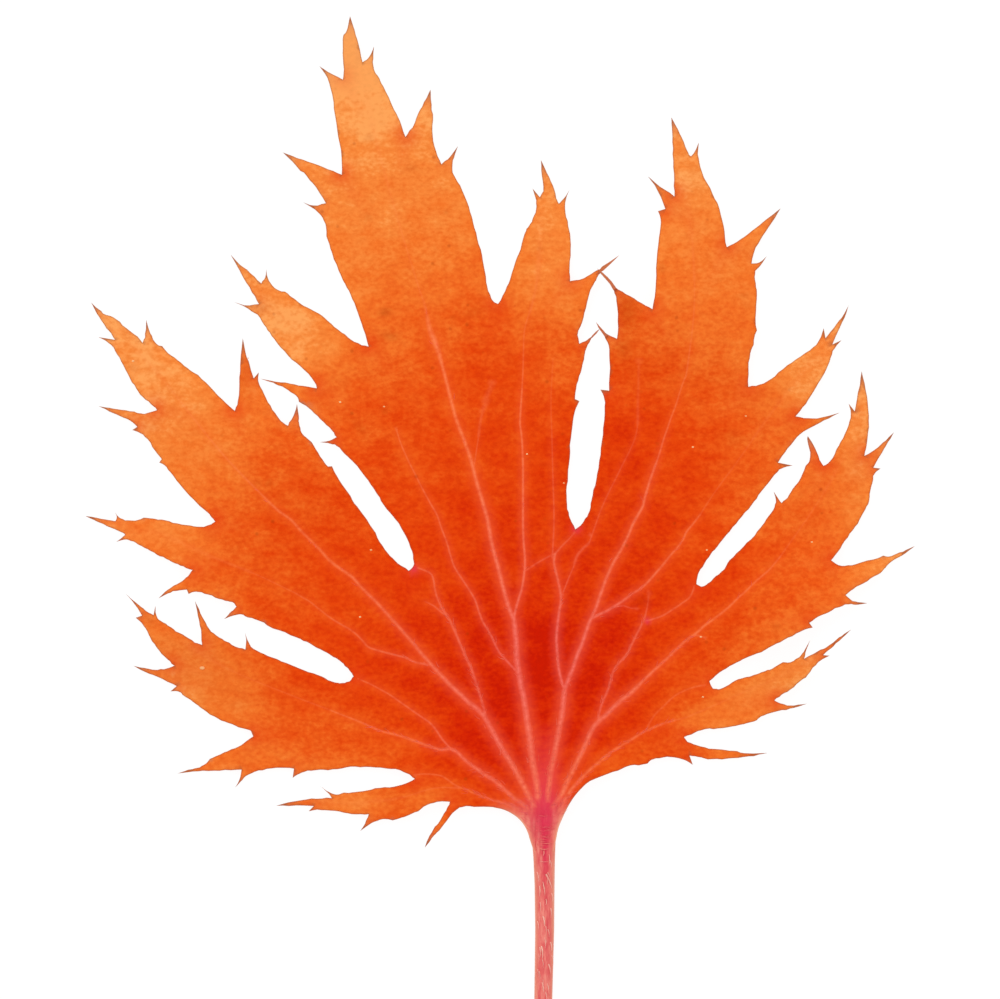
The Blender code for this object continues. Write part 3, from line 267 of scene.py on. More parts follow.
VEINS = (
    # lower left lobe, and its branches
    Vein(((-0.9, 0.9), (-1.6, 1.5), (-2.6, 2.2), (-3.6, 3.1), (-4.6, 3.95), (-5.6, 4.6), (-6.6, 5.3),
          (-7.5, 6), (-8.2, 6.7), (-8.9, 7.1)), (0.62, 0.46), (0.9, 0.8), (0.55, 0.5)),
    Vein(((-8.9, 7.1), (-10, 7.05), (-11, 7.35), (-12, 7.7), (-13, 8.05), (-14, 8.4), (-15.2, 8.7),
          (-16.2, 9), (-17.3, 9.5), (-18.5, 10), (-19.8, 10.5), (-20.8, 10.9)),
         (0.46, 0.24), (0.75, 0.45), (0.5, 0.32)),
    Vein(((-20.8, 10.9), (-25.5, 12.7), (-31, 15), (-36, 17.9), (-39.2, 20.5)),
         (0.24, 0.16), (0.25, 0), (0.32, 0.06)),
    Vein(((-8.9, 7.1), (-9.8, 8.1), (-10.4, 9), (-11, 9.7), (-12, 10.4), (-13, 11.1), (-14, 11.8),
          (-15, 12.5), (-15.8, 12.95), (-17, 13.6), (-18.2, 14.1)), (0.3, 0.22), (0.6, 0.4), (0.3, 0.15)),
    Vein(((-0.9, 0.55), (-2.3, 1.2), (-3.5, 1.65), (-5, 2.1), (-6.5, 2.65), (-7.7, 3.15), (-8.5, 3.5),
          (-9.2, 4), (-10, 4.45), (-11.5, 4.6), (-12.5, 4.5)), (0.42, 0.22), (0.55, 0.35), (0.3, 0.1)),
    Vein(((-7.7, 3.15), (-10.5, 3.2), (-14, 2.2), (-18, 1.7), (-22, 1.6)),
         (0.24, 0.14), (0.3, 0), (0.25, 0.05)),
    # left lobe
    Vein(((-0.65, 1.5), (-0.95, 2.1), (-1.4, 3), (-2, 4.1), (-2.6, 5.2), (-3.25, 6.25), (-3.9, 7.3),
          (-4.5, 8.4), (-5.1, 9.5), (-5.6, 10.4), (-6.4, 11.2), (-7.2, 11.8), (-8, 12.6), (-8.9, 13.4),
          (-9.75, 14.3), (-10.6, 15.2)), (0.8, 0.56), (1, 0.85), (0.7, 0.62)),
    Vein(((-10.6, 15.2), (-11.3, 16), (-12, 16.8), (-12.7, 17.7), (-13.5, 18.6), (-14.4, 19.6),
          (-15.3, 20.6), (-16.2, 21.6), (-17, 22.4), (-18, 23.4), (-18.8, 24.3), (-19.8, 25), (-21, 25.9),
          (-22, 27), (-23.2, 28.2), (-24, 29), (-24.9, 30), (-26, 30.8), (-26.8, 31.5), (-27.4, 32.1)),
         (0.52, 0.38), (0.8, 0.6), (0.6, 0.4)),
    Vein(((-27.4, 32.1), (-31.3, 36.1), (-35, 40.6), (-38.4, 44.9), (-42, 48.9)),
         (0.32, 0.16), (0.45, 0), (0.4, 0.06)),
    Vein(((-10.9, 15.5), (-12.4, 15.75), (-13.4, 16.2), (-14.5, 16.5), (-15.7, 16.8), (-17, 17.2),
          (-17.4, 17.5), (-18, 18.2), (-18.8, 18.9), (-19.8, 19.5), (-20.8, 20.1), (-22, 21), (-23, 21.8),
          (-24.5, 22.7)), (0.32, 0.24), (0.65, 0.35), (0.35, 0.25)),
    Vein(((-24.5, 22.7), (-28.5, 24.6), (-33, 26.4), (-38, 28.6), (-42, 29.3)),
         (0.22, 0.14), (0.25, 0), (0.25, 0.05)),
    # between the left and the main lobe
    Vein(((-5.35, 10.1), (-5.75, 11.6), (-6.1, 12.8), (-6.5, 14), (-6.9, 15.2), (-7.4, 16.2), (-7.9, 17.4),
          (-8.4, 18.6), (-8.8, 19.5), (-9.2, 20.3)), (0.4, 0.36), (0.55, 0.65), (0.3, 0.25)),
    Vein(((-9.2, 20.3), (-9.8, 21.2), (-10.2, 22), (-10.5, 23), (-10.65, 24), (-11, 24.7), (-12.2, 25.2)),
         (0.32, 0.26), (0.6, 0.55), (0.25, 0.1)),
    Vein(((-9.2, 20.3), (-9.9, 20.8), (-10.6, 21.4), (-11.4, 21.8)), (0.32, 0.22), (0.6, 0.3), (0.2, 0.1)),
    # main lobe
    Vein(((-0.2, 2.2), (-0.3, 3.6), (-0.6, 5), (-0.85, 6.6), (-1, 8), (-1.3, 10), (-1.6, 12), (-2, 14),
          (-2.3, 16), (-2.4, 18), (-2.6, 20)), (0.9, 0.66), (1, 1), (0.75, 0.7)),
    Vein(((-2.6, 20), (-3.2, 21.5), (-3.75, 23.5), (-4.25, 25.5), (-4.8, 27.5), (-5.25, 30), (-5.8, 32),
          (-6.4, 34), (-6.9, 36), (-7.6, 38), (-8.35, 40), (-8.9, 42), (-9.4, 44), (-9.8, 45.5)),
         (0.58, 0.48), (0.95, 0.85), (0.68, 0.56)),
    Vein(((-9.8, 45.5), (-10.15, 46.8), (-10.6, 48)), (0.48, 0.8), (0.85, 0.95), (0.56, 0.52)),
    Vein(((-10.6, 48), (-11.05, 49.2), (-11.3, 50.4), (-11.6, 51.8)),
         (0.8, 0.4), (0.85, 0.2), (0.52, 0.46)),
    Vein(((-11.6, 51.8), (-12.2, 53.5), (-14.2, 60), (-16.4, 68), (-17.9, 75)),
         (0.24, 0.16), (0.25, 0), (0.46, 0.06)),
    Vein(((-6.6, 35.4), (-6.2, 38), (-5.9, 40.2), (-5.4, 42), (-4.8, 43.8)),
         (0.22, 0.16), (0.35, 0.2), (0.15, 0.05)),
    Vein(((-2.5, 15), (-3.4, 16), (-4.1, 16.8), (-4.6, 17.8), (-5.1, 18.8), (-5.7, 19.8), (-6.1, 20.8),
          (-6.5, 22), (-7.2, 23.2), (-8, 24.4), (-8.6, 25.4), (-9, 26.6), (-9.3, 27.7), (-9.9, 29.3),
          (-10.3, 30.5), (-11.1, 31.9), (-11.9, 33.4), (-12.6, 34.8), (-13.3, 36.2), (-13.9, 37.6),
          (-14.3, 38.8)), (0.32, 0.22), (0.6, 0.5), (0.35, 0.2)),
    # small lobe
    Vein(((-2.6, 20), (-2.45, 21), (-2.1, 22.2), (-1.8, 23.2), (-1.6, 24.5), (-1.5, 26), (-1.65, 28),
          (-1.7, 30), (-1.7, 32), (-1.7, 35), (-1.75, 37), (-1.85, 38.5), (-2, 39.7), (-1.9, 41.5),
          (-1.8, 43)), (0.36, 0.28), (0.8, 0.7), (0.45, 0.35)),
    Vein(((-1.8, 43), (-1.7, 45), (-1.65, 47), (-1.6, 48.5), (-1.4, 49.7), (-0.9, 51.2), (-0.3, 54),
          (0, 58), (0.3, 62)), (0.24, 0.14), (0.45, 0), (0.3, 0.05)),
    # between the small and the right lobe
    Vein(((2.45, 13), (2.05, 14.3), (1.85, 15.3), (1.75, 16.5), (1.65, 18), (1.75, 19.5), (1.95, 21),
          (2.1, 22), (1.95, 23.3), (1.6, 24.8), (1.4, 25.8), (1.5, 26.6)),
         (0.42, 0.34), (0.85, 0.8), (0.4, 0.3)),
    Vein(((1.5, 26.6), (2.2, 27.4), (3, 28.2), (3.6, 28.9)), (0.3, 0.22), (0.5, 0.35), (0.2, 0.1)),
    Vein(((1.25, 26.4), (1.4, 30), (1.3, 34), (1.2, 38), (1.1, 42), (1.3, 46)),
         (0.26, 0.2), (0.38, 0.15), (0.2, 0.05)),
    Vein(((5, 27.9), (6.3, 31.5), (8, 35), (9.6, 38.5), (9.8, 42), (9.9, 46)),
         (0.24, 0.18), (0.32, 0.15), (0.2, 0.05)),
    Vein(((-1.5, 24.9), (-0.2, 25.75), (0.8, 26.3), (1.5, 26.7)), (0.3, 0.26), (0.3, 0.35), (0.1, 0.1)),
    Vein(((2.1, 22.2), (2.6, 23.5), (3, 24.5), (3.35, 25.3), (3.7, 26.4), (4.35, 27.2), (4.95, 27.75),
          (5.1, 28.5)), (0.22, 0.18), (0.4, 0.3), (0.12, 0.05)),
    # right lobe
    Vein(((0.75, 2), (0.9, 3.4), (1.1, 5), (1.45, 6.6), (1.7, 8), (2.1, 10), (2.3, 11.5), (2.45, 13)),
         (0.78, 0.7), (0.95, 1), (0.7, 0.66)),
    Vein(((2.45, 13), (2.9, 14.2), (3.3, 15.2), (3.7, 16.4), (4.2, 17.6), (4.6, 18.8), (5.05, 20),
          (5.6, 21.2), (6, 22.4), (6.5, 23.8), (7, 25), (7.5, 26), (8.2, 27.2), (8.8, 28.4), (9.3, 29.6),
          (9.8, 30.5), (10.3, 31.4), (10.5, 32.3), (10.9, 33.6), (11.3, 34.8), (11.6, 35.6)),
         (0.56, 0.34), (1, 0.75), (0.62, 0.5)),
    Vein(((11.6, 35.6), (12, 36.8), (12.35, 38), (12.7, 39), (13.1, 40.2), (13.6, 41.5), (14, 42.8),
          (14.4, 44), (14.7, 45), (15.4, 51), (15.3, 57), (14.6, 63)),
         (0.28, 0.16), (0.6, 0), (0.45, 0.06)),
    Vein(((5.1, 20.1), (5.8, 20.5), (6.6, 20.85), (7.5, 21.4), (8.3, 21.9), (9.2, 22.6), (10, 23.1),
          (10.8, 23.8), (11.5, 24.6), (12.3, 25.5), (13, 26.4), (13.7, 27.2), (14.3, 28), (14.65, 28.8),
          (15.3, 29.6), (16, 30.5)), (0.4, 0.28), (0.85, 0.5), (0.42, 0.3)),
    Vein(((16, 30.5), (17.5, 32.8), (20, 36.2), (23, 40.5), (26.5, 45), (29.5, 49)),
         (0.24, 0.14), (0.25, 0), (0.25, 0.05)),
    Vein(((7.2, 21.2), (8.2, 21.45), (9, 21.2), (9.6, 21.15)), (0.28, 0.2), (0.35, 0.2), (0.1, 0.05)),
    # right lower lobe
    Vein(((1.2, 1.2), (1.7, 1.9), (2.25, 2.7), (2.75, 3.9), (3.3, 5), (3.9, 6.2), (4.4, 7.2), (4.8, 8.2),
          (5.3, 9.2), (5.9, 9.9), (6.6, 10.5), (7.4, 11.3), (8.2, 12), (9.1, 12.7), (9.8, 13.4)),
         (0.74, 0.58), (0.95, 0.9), (0.65, 0.58)),
    Vein(((9.8, 13.4), (10.4, 14), (11.2, 14.75), (12.1, 15.6), (13, 16.4), (13.9, 17.3), (14.8, 18.1),
          (15.4, 18.5), (15.9, 18.9), (16.4, 19.4), (17.4, 20.1), (18.3, 20.8), (19, 21.4), (19.9, 22.3),
          (20.5, 22.8), (21.3, 23.6), (22.2, 24.4), (22.9, 25), (23.5, 25.7), (24, 26.3)),
         (0.46, 0.26), (0.8, 0.45), (0.55, 0.35)),
    Vein(((24, 26.3), (27.3, 31), (30, 35.6), (31.7, 40)), (0.24, 0.16), (0.25, 0), (0.35, 0.06)),
    Vein(((15, 18.25), (15.6, 18.45), (16.3, 18.3)), (0.3, 0.24), (0.6, 0.5), (0.1, 0.05)),
    Vein(((5.8, 9.9), (6, 11), (6.35, 12), (6.8, 13), (7.1, 14), (7.4, 15), (8, 15.8), (8.7, 16.6),
          (9.2, 17.6), (9.7, 18.6), (10.2, 19.6), (10.5, 20.3)), (0.36, 0.32), (0.55, 0.6), (0.3, 0.22)),
    Vein(((10.4, 19.9), (11, 20), (12.2, 20.4), (13.2, 21), (14.1, 21.6), (15, 22.3), (15.4, 23.2)),
         (0.28, 0.24), (0.5, 0.45), (0.2, 0.08)),
    Vein(((10.5, 20.3), (10.75, 21.4), (10.9, 22.6)), (0.26, 0.18), (0.4, 0.2), (0.15, 0.08)),
    # lower right lobe
    Vein(((1.35, 0.3), (1.9, 1.1), (2.45, 2), (3.15, 3.05), (4.2, 4.25), (5.2, 5.2), (6.1, 5.95), (7, 6.7),
          (8, 7.35), (9, 7.95), (10, 8.6), (11, 9.1), (12.3, 9.6), (13.4, 9.95)),
         (0.6, 0.34), (0.85, 0.5), (0.5, 0.35)),
    Vein(((13.4, 9.95), (15, 10.4), (20, 12.6), (24.5, 14.6), (28, 16.6)),
         (0.26, 0.14), (0.25, 0), (0.3, 0.05)),
    Vein(((10.6, 9), (11.4, 10.4), (12.4, 11.4), (13.4, 12.35), (14.4, 12.9), (15.5, 13.3), (16.5, 13.5)),
         (0.3, 0.26), (0.25, 0.4), (0.2, 0.1)),
)


class Side(Enum):
    """The two faces of the blade. The value is the place of its finish on the mesh."""

    UPPER = 0
    UNDER = 1


def srgb(red: int, green: int, blue: int) -> Colour:
    """Turns a colour as it is seen, 0 to 255 in each channel, into a linear one.

    Args:
        red: The red channel.
        green: The green channel.
        blue: The blue channel.

    Returns:
        The linear colour, with full opacity.
    """
    seen = [channel / 255 for channel in (red, green, blue)]
    linear = [c / 12.92 if c <= 10 / 255 else ((c + 0.055) / 1.055) ** 2.4 for c in seen]
    return (linear[0], linear[1], linear[2], 1.0)


def smoothstep(low: float, high: float, value: Array) -> Array:
    """A soft step from 0 at low to 1 at high; low may be the larger."""
    t = np.clip((value - low) / (high - low), 0.0, 1.0)
    return t * t * (3.0 - 2.0 * t)


def smooth_path(path: tuple[Point, ...], step: float) -> Array:
    """Runs a smooth curve through the points and reads it at an even step.

    Args:
        path: The points to run through.
        step: The distance between two of the returned points, in millimetres.

    Returns:
        Rows of x, y and the share of the length reached there.
    """
    between = 8
    knots = np.array(path)
    knots = np.vstack([2 * knots[0] - knots[1], knots, 2 * knots[-1] - knots[-2]])
    t = np.linspace(0, 1, between, endpoint=False)[:, None]
    pieces = []
    for a, b, c, d in zip(knots, knots[1:], knots[2:], knots[3:]):
        bend, twist = 2 * a - 5 * b + 4 * c - d, 3 * b - a - 3 * c + d
        pieces.append(0.5 * (2 * b + (c - a) * t + bend * t**2 + twist * t**3))
    dense = np.vstack([*pieces, knots[-2:-1]])
    length = np.concatenate([[0.0], np.cumsum(np.linalg.norm(np.diff(dense, axis=0), axis=1))])
    count = max(int(length[-1] / step) + 1, 2)
    at = np.linspace(0, length[-1], count)
    x, y = (np.interp(at, length, dense[:, k]) for k in (0, 1))
    return np.column_stack([x, y, at / length[-1]])


def gap_to_segments(points: Array, starts: Array, ends: Array) -> Array:
    """The distance from each point to the nearest of the segments.

    Args:
        points: Rows of x and y.
        starts: Where the segments start.
        ends: Where the segments end.

    Returns:
        The distances.
    """
    run = ends - starts
    squared = np.maximum((run**2).sum(axis=1), 1e-12)
    offset = points[:, None, :] - starts[None]
    t = np.clip((offset * run[None]).sum(axis=2) / squared[None], 0.0, 1.0)
    return np.linalg.norm(offset - t[:, :, None] * run[None], axis=2).min(axis=1)


@dataclass
class Lie:
    """How the blade stands off the surface that it lies on.

    Attributes:
        waves: Height, length, direction and phase, both in degrees, of each long wave.
        wave_rest: The waves' mean height; what is below the surface rests on it.
        lifts: Centre x and y, radius and height of each raised lobe end.
        crown_height: How high the middle stands, over crown_reach.
        touch_blend: The height over which the blade rolls down to where it touches.
        rib_room: The room for the ribs under the middle, down to none at rib_room_reach.
    """

    waves: Rows = (
        (0.85, 47, 24, 200), (0.75, 39, 118, 75), (0.4, 23, 71, 10),
    )
    wave_rest: float = -0.55
    lifts: Rows = (
        (-44, 50, 15, 1.7), (-19, 80, 17, 1.9), (13, 69, 13, 1.2), (33, 44, 12, 1.6), (31, 19, 10, 0.9),
        (-41, 20, 11, 1.1),
    )
    crown_height: float = 1.15
    crown_reach: float = 15.0
    touch_blend: float = 0.9
    rib_room: float = 0.80
    rib_room_reach: float = 78.0

    def stand_off(self, points: Array) -> Array:
        """The height of the blade's underside, without its ribs, at each of the points.

        Args:
            points: Rows of x and y.

        Returns:
            The heights in millimetres.
        """
        x, y = points[:, 0], points[:, 1]
        reach = np.hypot(x, y - PARTING_Y)
        rise = np.full(len(points), self.wave_rest)
        for height, length, direction, phase in self.waves:
            turn = math.radians(direction)
            along = x * math.cos(turn) + y * math.sin(turn)
            rise += height * np.sin(2 * math.pi * along / length + math.radians(phase))
        for cx, cy, radius, height in self.lifts:
            rise += height * np.exp(-((x - cx) ** 2 + (y - cy) ** 2) / radius**2)
        crown = np.exp(-((reach / self.crown_reach) ** 2))
        rise = rise * (1 - crown) + self.crown_height * crown
        blend = self.touch_blend
        settled = np.where(rise < blend, rise * rise / (2 * blend), rise - blend / 2)
        settled[rise <= 0] = 0
        return settled + self.rib_room * np.clip(1 - reach / self.rib_room_reach, 0, 1)


@dataclass
class Tint:
    """How orange the blade is, from 0 for the deepest red to 1 for the palest orange.

    Attributes:
        heart: The centre of the red.
        steps: Pairs of the distance from the heart and the tone there.
        patches: Centre x and y, radius and change of tone of each patch.
        stains_and_shade: Centre x and y, half length, half width, direction in degrees and darkness of each;
            the one at 8.7, 51 is painted shade where a tooth of the right lobe curls up.
        rosy: Centre x and y and radius of the rosy ends of the slots.
    """

    heart: Point = (0.0, 14.0)
    steps: tuple[Point, ...] = (
        (0, 0), (6, 0.1), (10, 0.22), (20, 0.37), (25, 0.44), (30, 0.53), (37, 0.66), (47, 0.82),
        (59, 0.93), (66, 1), (70, 1.04),
    )
    patches: Rows = (
        (26, 13, 8, 0.44), (17, 8, 6, 0.34), (-31, 4, 7, 0.14), (-20, 2.5, 7, 0.37), (8, 4, 3.5, 0.3),
        (-9, 1.5, 4, 0.28), (-34, 14, 7, 0.24), (35, 30, 9, 0.16), (-38, 44, 9, 0.12), (-36, 30, 7, 0.1),
        # The patch at 8.7, 50.5 reddens the curled tooth of the right lobe: painted shade.
        (-4, 45, 6, -0.14), (9, 38, 7, -0.14), (8.7, 50.5, 2.2, -0.1), (-25, 48, 6, 0.2),
        (-3, 29, 6, -0.04), (13, 24, 6, 0.02), (1.5, 54, 4.5, 0.17), (1.6, 44, 3.5, 0.1),
        (25.5, 44, 4.5, 0.15), (22.5, 33, 3.5, 0.14), (0.3, 62.5, 3.5, 0.1), (-41, 49, 4, -0.03),
        (31.5, 42, 4, 0.15), (35, 26, 4, 0.12), (-29.6, 45, 2.5, -0.16), (-11, -0.5, 3, 0.2),
        (-18.5, 77, 4, 0.2), (29, 48.5, 3, 0.1), (-7, 5, 4, -0.14), (-30, 31, 4, -0.08),
        (0.9, 18.5, 1.9, -0.14), (0.3, 10, 3, 0.06), (8, 20.5, 2.5, -0.1), (-16, 69.5, 3, 0.08),
        (14.5, 64, 3, 0.08), (32, 37, 3, 0.09), (19, 30, 3, 0.07),
    )
    stains_and_shade: Rows = (
        (-15.5, 50.8, 0.6, 0.35, 8, 0.65), (-8.7, 50.4, 0.25, 0.18, 0, 0.4),
        (-15, 48.4, 0.9, 0.35, -10, 0.45), (-17.2, 60.3, 0.4, 0.25, 0, 0.4),
        (-17.1, 68.3, 0.35, 0.25, 0, 0.4), (-27.1, 33.7, 0.3, 0.25, 0, 0.5),
        (-28.3, 33.7, 0.35, 0.3, 0, 0.3), (-15.5, 41, 0.35, 0.25, 0, 0.5), (-18, 39.2, 1, 0.45, -40, 0.25),
        (23.6, 19.3, 0.3, 0.25, 0, 0.5), (-40.6, 45.2, 0.4, 0.25, 0, 0.3), (-9.4, 60.8, 0.25, 0.2, 0, 0.35),
        (0.1, 57.1, 0.3, 0.2, 0, 0.35), (10.2, 21.9, 0.8, 0.5, 10, 0.2), (-6.7, 50.8, 1, 0.4, 15, 0.2),
        # The entry at 8.7, 51 is painted shade on the tooth of the right lobe that curls up.
        (19.2, 38.3, 1.2, 0.8, -20, 0.15), (8.7, 51, 1.1, 1.9, 0, 0.4), (8.3, 47.2, 0.8, 1, 0, 0.3),
        (-39.2, 20.1, 0.8, 0.4, -30, 0.25), (-33.5, 14, 6.5, 4, -20, 0.12), (-29.6, 45, 3, 1.2, 90, 0.16),
        (-28, 51.2, 0.8, 0.5, 0, 0.3), (20.4, 52.5, 0.3, 0.25, 0, 0.35), (12.2, 55.2, 0.3, 0.2, 0, 0.35),
        (-12.8, 65.2, 0.7, 0.35, 0, 0.25),
    )
    rosy: Rows = (
        (3.65, 29.15, 0.42), (-12.65, 25.1, 0.4), (10.75, 19.9, 0.3),
    )
    rosy_strength: float = 0.75

    def rose(self, points: Array) -> Array:
        """How rosy the ends of the slots make each of the points.

        Args:
            points: Rows of x and y.

        Returns:
            The strength from 0 to 1.
        """
        found = np.zeros(len(points))
        for x, y, radius in self.rosy:
            squared = (points[:, 0] - x) ** 2 + (points[:, 1] - y) ** 2
            found = np.maximum(found, self.rosy_strength * np.exp(-squared / radius**2))
        return found

    def tone(self, points: Array) -> Array:
        """How orange the blade is at each of the points.

        Args:
            points: Rows of x and y.

        Returns:
            The tones, mostly from 0 to 1.
        """
        reach = np.hypot(points[:, 0] - self.heart[0], points[:, 1] - self.heart[1])
        found = np.interp(reach, [s[0] for s in self.steps], [s[1] for s in self.steps])
        for x, y, radius, change in self.patches:
            squared = (points[:, 0] - x) ** 2 + (points[:, 1] - y) ** 2
            found += change * np.exp(-squared / radius**2)
        return found

    def stain_and_shade(self, points: Array) -> Array:
        """How dark the brown spots, and the painted shade on the right lobe's curled tooth, are at each of
        the points.

        Args:
            points: Rows of x and y.

        Returns:
            The darkness from 0 to 1.
        """
        dark = np.zeros(len(points))
        for x, y, length, width, direction, darkness in self.stains_and_shade:
            turn = math.radians(direction)
            dx, dy = points[:, 0] - x, points[:, 1] - y
            u = (dx * math.cos(turn) + dy * math.sin(turn)) / length
            v = (dy * math.cos(turn) - dx * math.sin(turn)) / width
            dark = np.maximum(dark, darkness * np.exp(-(u * u + v * v)))
        return dark


class VeinMap:
    """All the veins, which are asked for the paleness and depth that they give to the blade."""

    # How far to look for a vein, in millimetres, and how many points to look at together.
    REACH = 5.0
    BATCH = 8000
    # Half the pale line, as a share of the vein's width, and where it starts and is fully pale.
    LINE = 0.42
    LINE_EDGES = (1.05, 0.1)
    # The reach of the glow and of a rib: a part that is always there, and a share of the vein's own.
    GLOW = (0.22, 0.66)
    RIB = (0.25, 0.9)

    def __init__(self, veins: tuple[Vein, ...], step: float) -> None:
        """Reads each vein at an even step.

        Args:
            veins: The veins.
            step: The length of a segment in millimetres.
        """
        self.lines: list[Array] = []
        for vein in veins:
            line = smooth_path(vein.path, step)
            share = line[:, 2]
            values = [np.interp(share, (0, 1), pair) for pair in (vein.width, vein.pale, vein.depth)]
            self.lines.append(np.column_stack([line[:, :2], *values]))

    def masks(self, points: Array) -> dict[str, Array]:
        """What the veins do at each of the points.

        Args:
            points: Rows of x and y.

        Returns:
            "vein", how much of the pale line shows; "halo", the soft glow beside it; "depth", how far
            a rib stands out below; "gap", the distance to the nearest vein.
        """
        found = {name: np.zeros(len(points)) for name in ("vein", "halo", "depth")}
        found["gap"] = np.full(len(points), self.REACH)
        for line in self.lines:
            low, high = line[:, :2].min(axis=0) - self.REACH, line[:, :2].max(axis=0) + self.REACH
            rows = np.nonzero(((points > low) & (points < high)).all(axis=1))[0]
            for first in range(0, len(rows), self.BATCH):
                self.add(found, rows[first : first + self.BATCH], points, line)
        return found

    def add(
        self, found: dict[str, Array], rows: Array, points: Array, line: Array
    ) -> None:
        """Adds what one vein does to some of the points.

        Args:
            found: The masks so far.
            rows: Which points.
            points: All the points.
            line: The vein's points, widths, palenesses and depths.
        """
        start, end = line[:-1], line[1:]
        run = end[:, :2] - start[:, :2]
        offset = points[rows][:, None, :] - start[None, :, :2]
        t = np.clip((offset * run[None]).sum(axis=2) / (run**2).sum(axis=1)[None], 0.0, 1.0)
        gaps = np.linalg.norm(offset - t[:, :, None] * run[None], axis=2)
        pick = gaps.argmin(axis=1)
        each = np.arange(len(rows))
        gap, t = gaps[each, pick], t[each, pick]
        width, pale, depth = (start[pick, k] * (1 - t) + end[pick, k] * t for k in (2, 3, 4))
        core = smoothstep(*self.LINE_EDGES, gap / (self.LINE * width))
        glow = np.exp(-((gap / (self.GLOW[0] + self.GLOW[1] * width)) ** 2))
        rib = smoothstep(1.0, 0.0, gap / (self.RIB[0] + self.RIB[1] * depth))
        for name, value in (("vein", pale * core), ("halo", pale * glow), ("depth", depth * rib)):
            found[name][rows] = np.maximum(found[name][rows], value)
        found["gap"][rows] = np.minimum(found["gap"][rows], gap)


class Spacing:
    """Takes points only where they keep clear of those already taken."""

    def __init__(self, cell: float) -> None:
        """Starts with no points.

        Args:
            cell: The side of a search cell, at least the widest clearance asked for.
        """
        self.cell = cell
        self.taken: list[Point] = []
        self.cells: dict[tuple[int, int], list[Point]] = {}

    def take(self, points: Array, clearance: float) -> None:
        """Takes each point that is at least the clearance away from all the points taken before it.

        Args:
            points: Rows of x and y.
            clearance: The distance to keep, in millimetres.
        """
        squared = clearance * clearance
        for x, y in points.tolist():
            i, j = int(x // self.cell), int(y // self.cell)
            cells = ((a, b) for a in (i - 1, i, i + 1) for b in (j - 1, j, j + 1))
            near = (point for cell in cells for point in self.cells.get(cell, ()))
            if all((px - x) ** 2 + (py - y) ** 2 >= squared for px, py in near):
                self.taken.append((x, y))
                self.cells.setdefault((i, j), []).append((x, y))


def select_only(obj: Object) -> None:
    """Makes obj the only selected object and the active one."""
    for other in bpy.context.selected_objects:
        other.select_set(False)
    obj.select_set(True)
    bpy.context.view_layer.objects.active = obj


def link(obj: Object) -> Object:
    """Puts obj into the scene and returns it."""
    bpy.context.scene.collection.objects.link(obj)
    return obj


def join(objects: list[Object]) -> Object:
    """Joins the objects into the first of them and returns it."""
    select_only(objects[0])
    for obj in objects[1:]:
        obj.select_set(True)
    bpy.ops.object.join()
    return objects[0]


def face_outwards(obj: Object) -> None:
    """Turns the faces of obj's mesh the same way, which is outwards where it is closed."""
    select_only(obj)
    bpy.ops.object.mode_set(mode="EDIT")
    bpy.ops.mesh.select_all(action="SELECT")
    bpy.ops.mesh.normals_make_consistent(inside=False)
    bpy.ops.object.mode_set(mode="OBJECT")


def add_mesh(name: str, vertices: Array, faces: Faces) -> Object:
    """Adds a mesh object.

    Args:
        name: The object's name.
        vertices: Its points in metres, one row each.
        faces: Its faces, as numbers of points.

    Returns:
        The object, at the origin.
    """
    mesh = bpy.data.meshes.new(name)
    mesh.from_pydata(vertices.tolist(), [], faces)
    mesh.validate()
    return link(bpy.data.objects.new(name, mesh))


def positions(obj: Object) -> Array:
    """The points of obj's mesh in metres, one row each."""
    found = np.empty(len(obj.data.vertices) * 3, np.float32)
    obj.data.vertices.foreach_get("co", found)
    return found.reshape(-1, 3).astype(float)


def set_positions(obj: Object, points: Array) -> None:
    """Moves the points of obj's mesh to the given places, in metres."""
    obj.data.vertices.foreach_set("co", points.astype(np.float32).ravel())
    obj.data.update()


def set_mask(obj: Object, name: str, values: Array) -> None:
    """Stores one number for each point of obj's mesh under the given name."""
    mask = obj.data.attributes.get(name) or obj.data.attributes.new(name, "FLOAT", "POINT")
    mask.data.foreach_set("value", values.astype(np.float32))


def smooth_shade(obj: Object, angle: float) -> None:
    """Shades obj smooth, apart from edges sharper than the angle, in degrees."""
    select_only(obj)
    bpy.ops.object.shade_smooth_by_angle(angle=math.radians(angle))


def closed_curve(name: str, knots: tuple, steps: int) -> Array:
    """Draws a closed curve through the knots, sharp at the marked ones, and converts it to points.

    Args:
        name: The name of the curve while it exists.
        knots: The knots; one with a third entry is a sharp point.
        steps: How many points each stretch between two knots gets.

    Returns:
        The points in millimetres, one x, y row each, in order.
    """
    curve = bpy.data.curves.new(name, "CURVE")
    curve.dimensions = "3D"
    spline = curve.splines.new("BEZIER")
    spline.bezier_points.add(len(knots) - 1)
    for point, knot in zip(spline.bezier_points, knots):
        point.co = (knot[0], knot[1], 0.0)
        kind = "VECTOR" if len(knot) == 3 else "AUTO"
        point.handle_left_type = point.handle_right_type = kind
    spline.use_cyclic_u = True
    spline.resolution_u = steps
    select_only(link(bpy.data.objects.new(name, curve)))
    bpy.ops.object.convert(target="MESH")
    obj = bpy.context.view_layer.objects.active
    found = positions(obj)[:, :2]
    bpy.data.objects.remove(obj, do_unlink=True)
    return found


def inward(outline: Array, offset: float | Array) -> Array:
    """Moves a clockwise outline inwards by the offset, or each point by its own, in millimetres."""
    along = np.roll(outline, -1, axis=0) - np.roll(outline, 1, axis=0)
    along /= np.maximum(np.linalg.norm(along, axis=1), 1e-9)[:, None]
    return outline + np.reshape(offset, (-1, 1)) * np.column_stack([along[:, 1], -along[:, 0]])


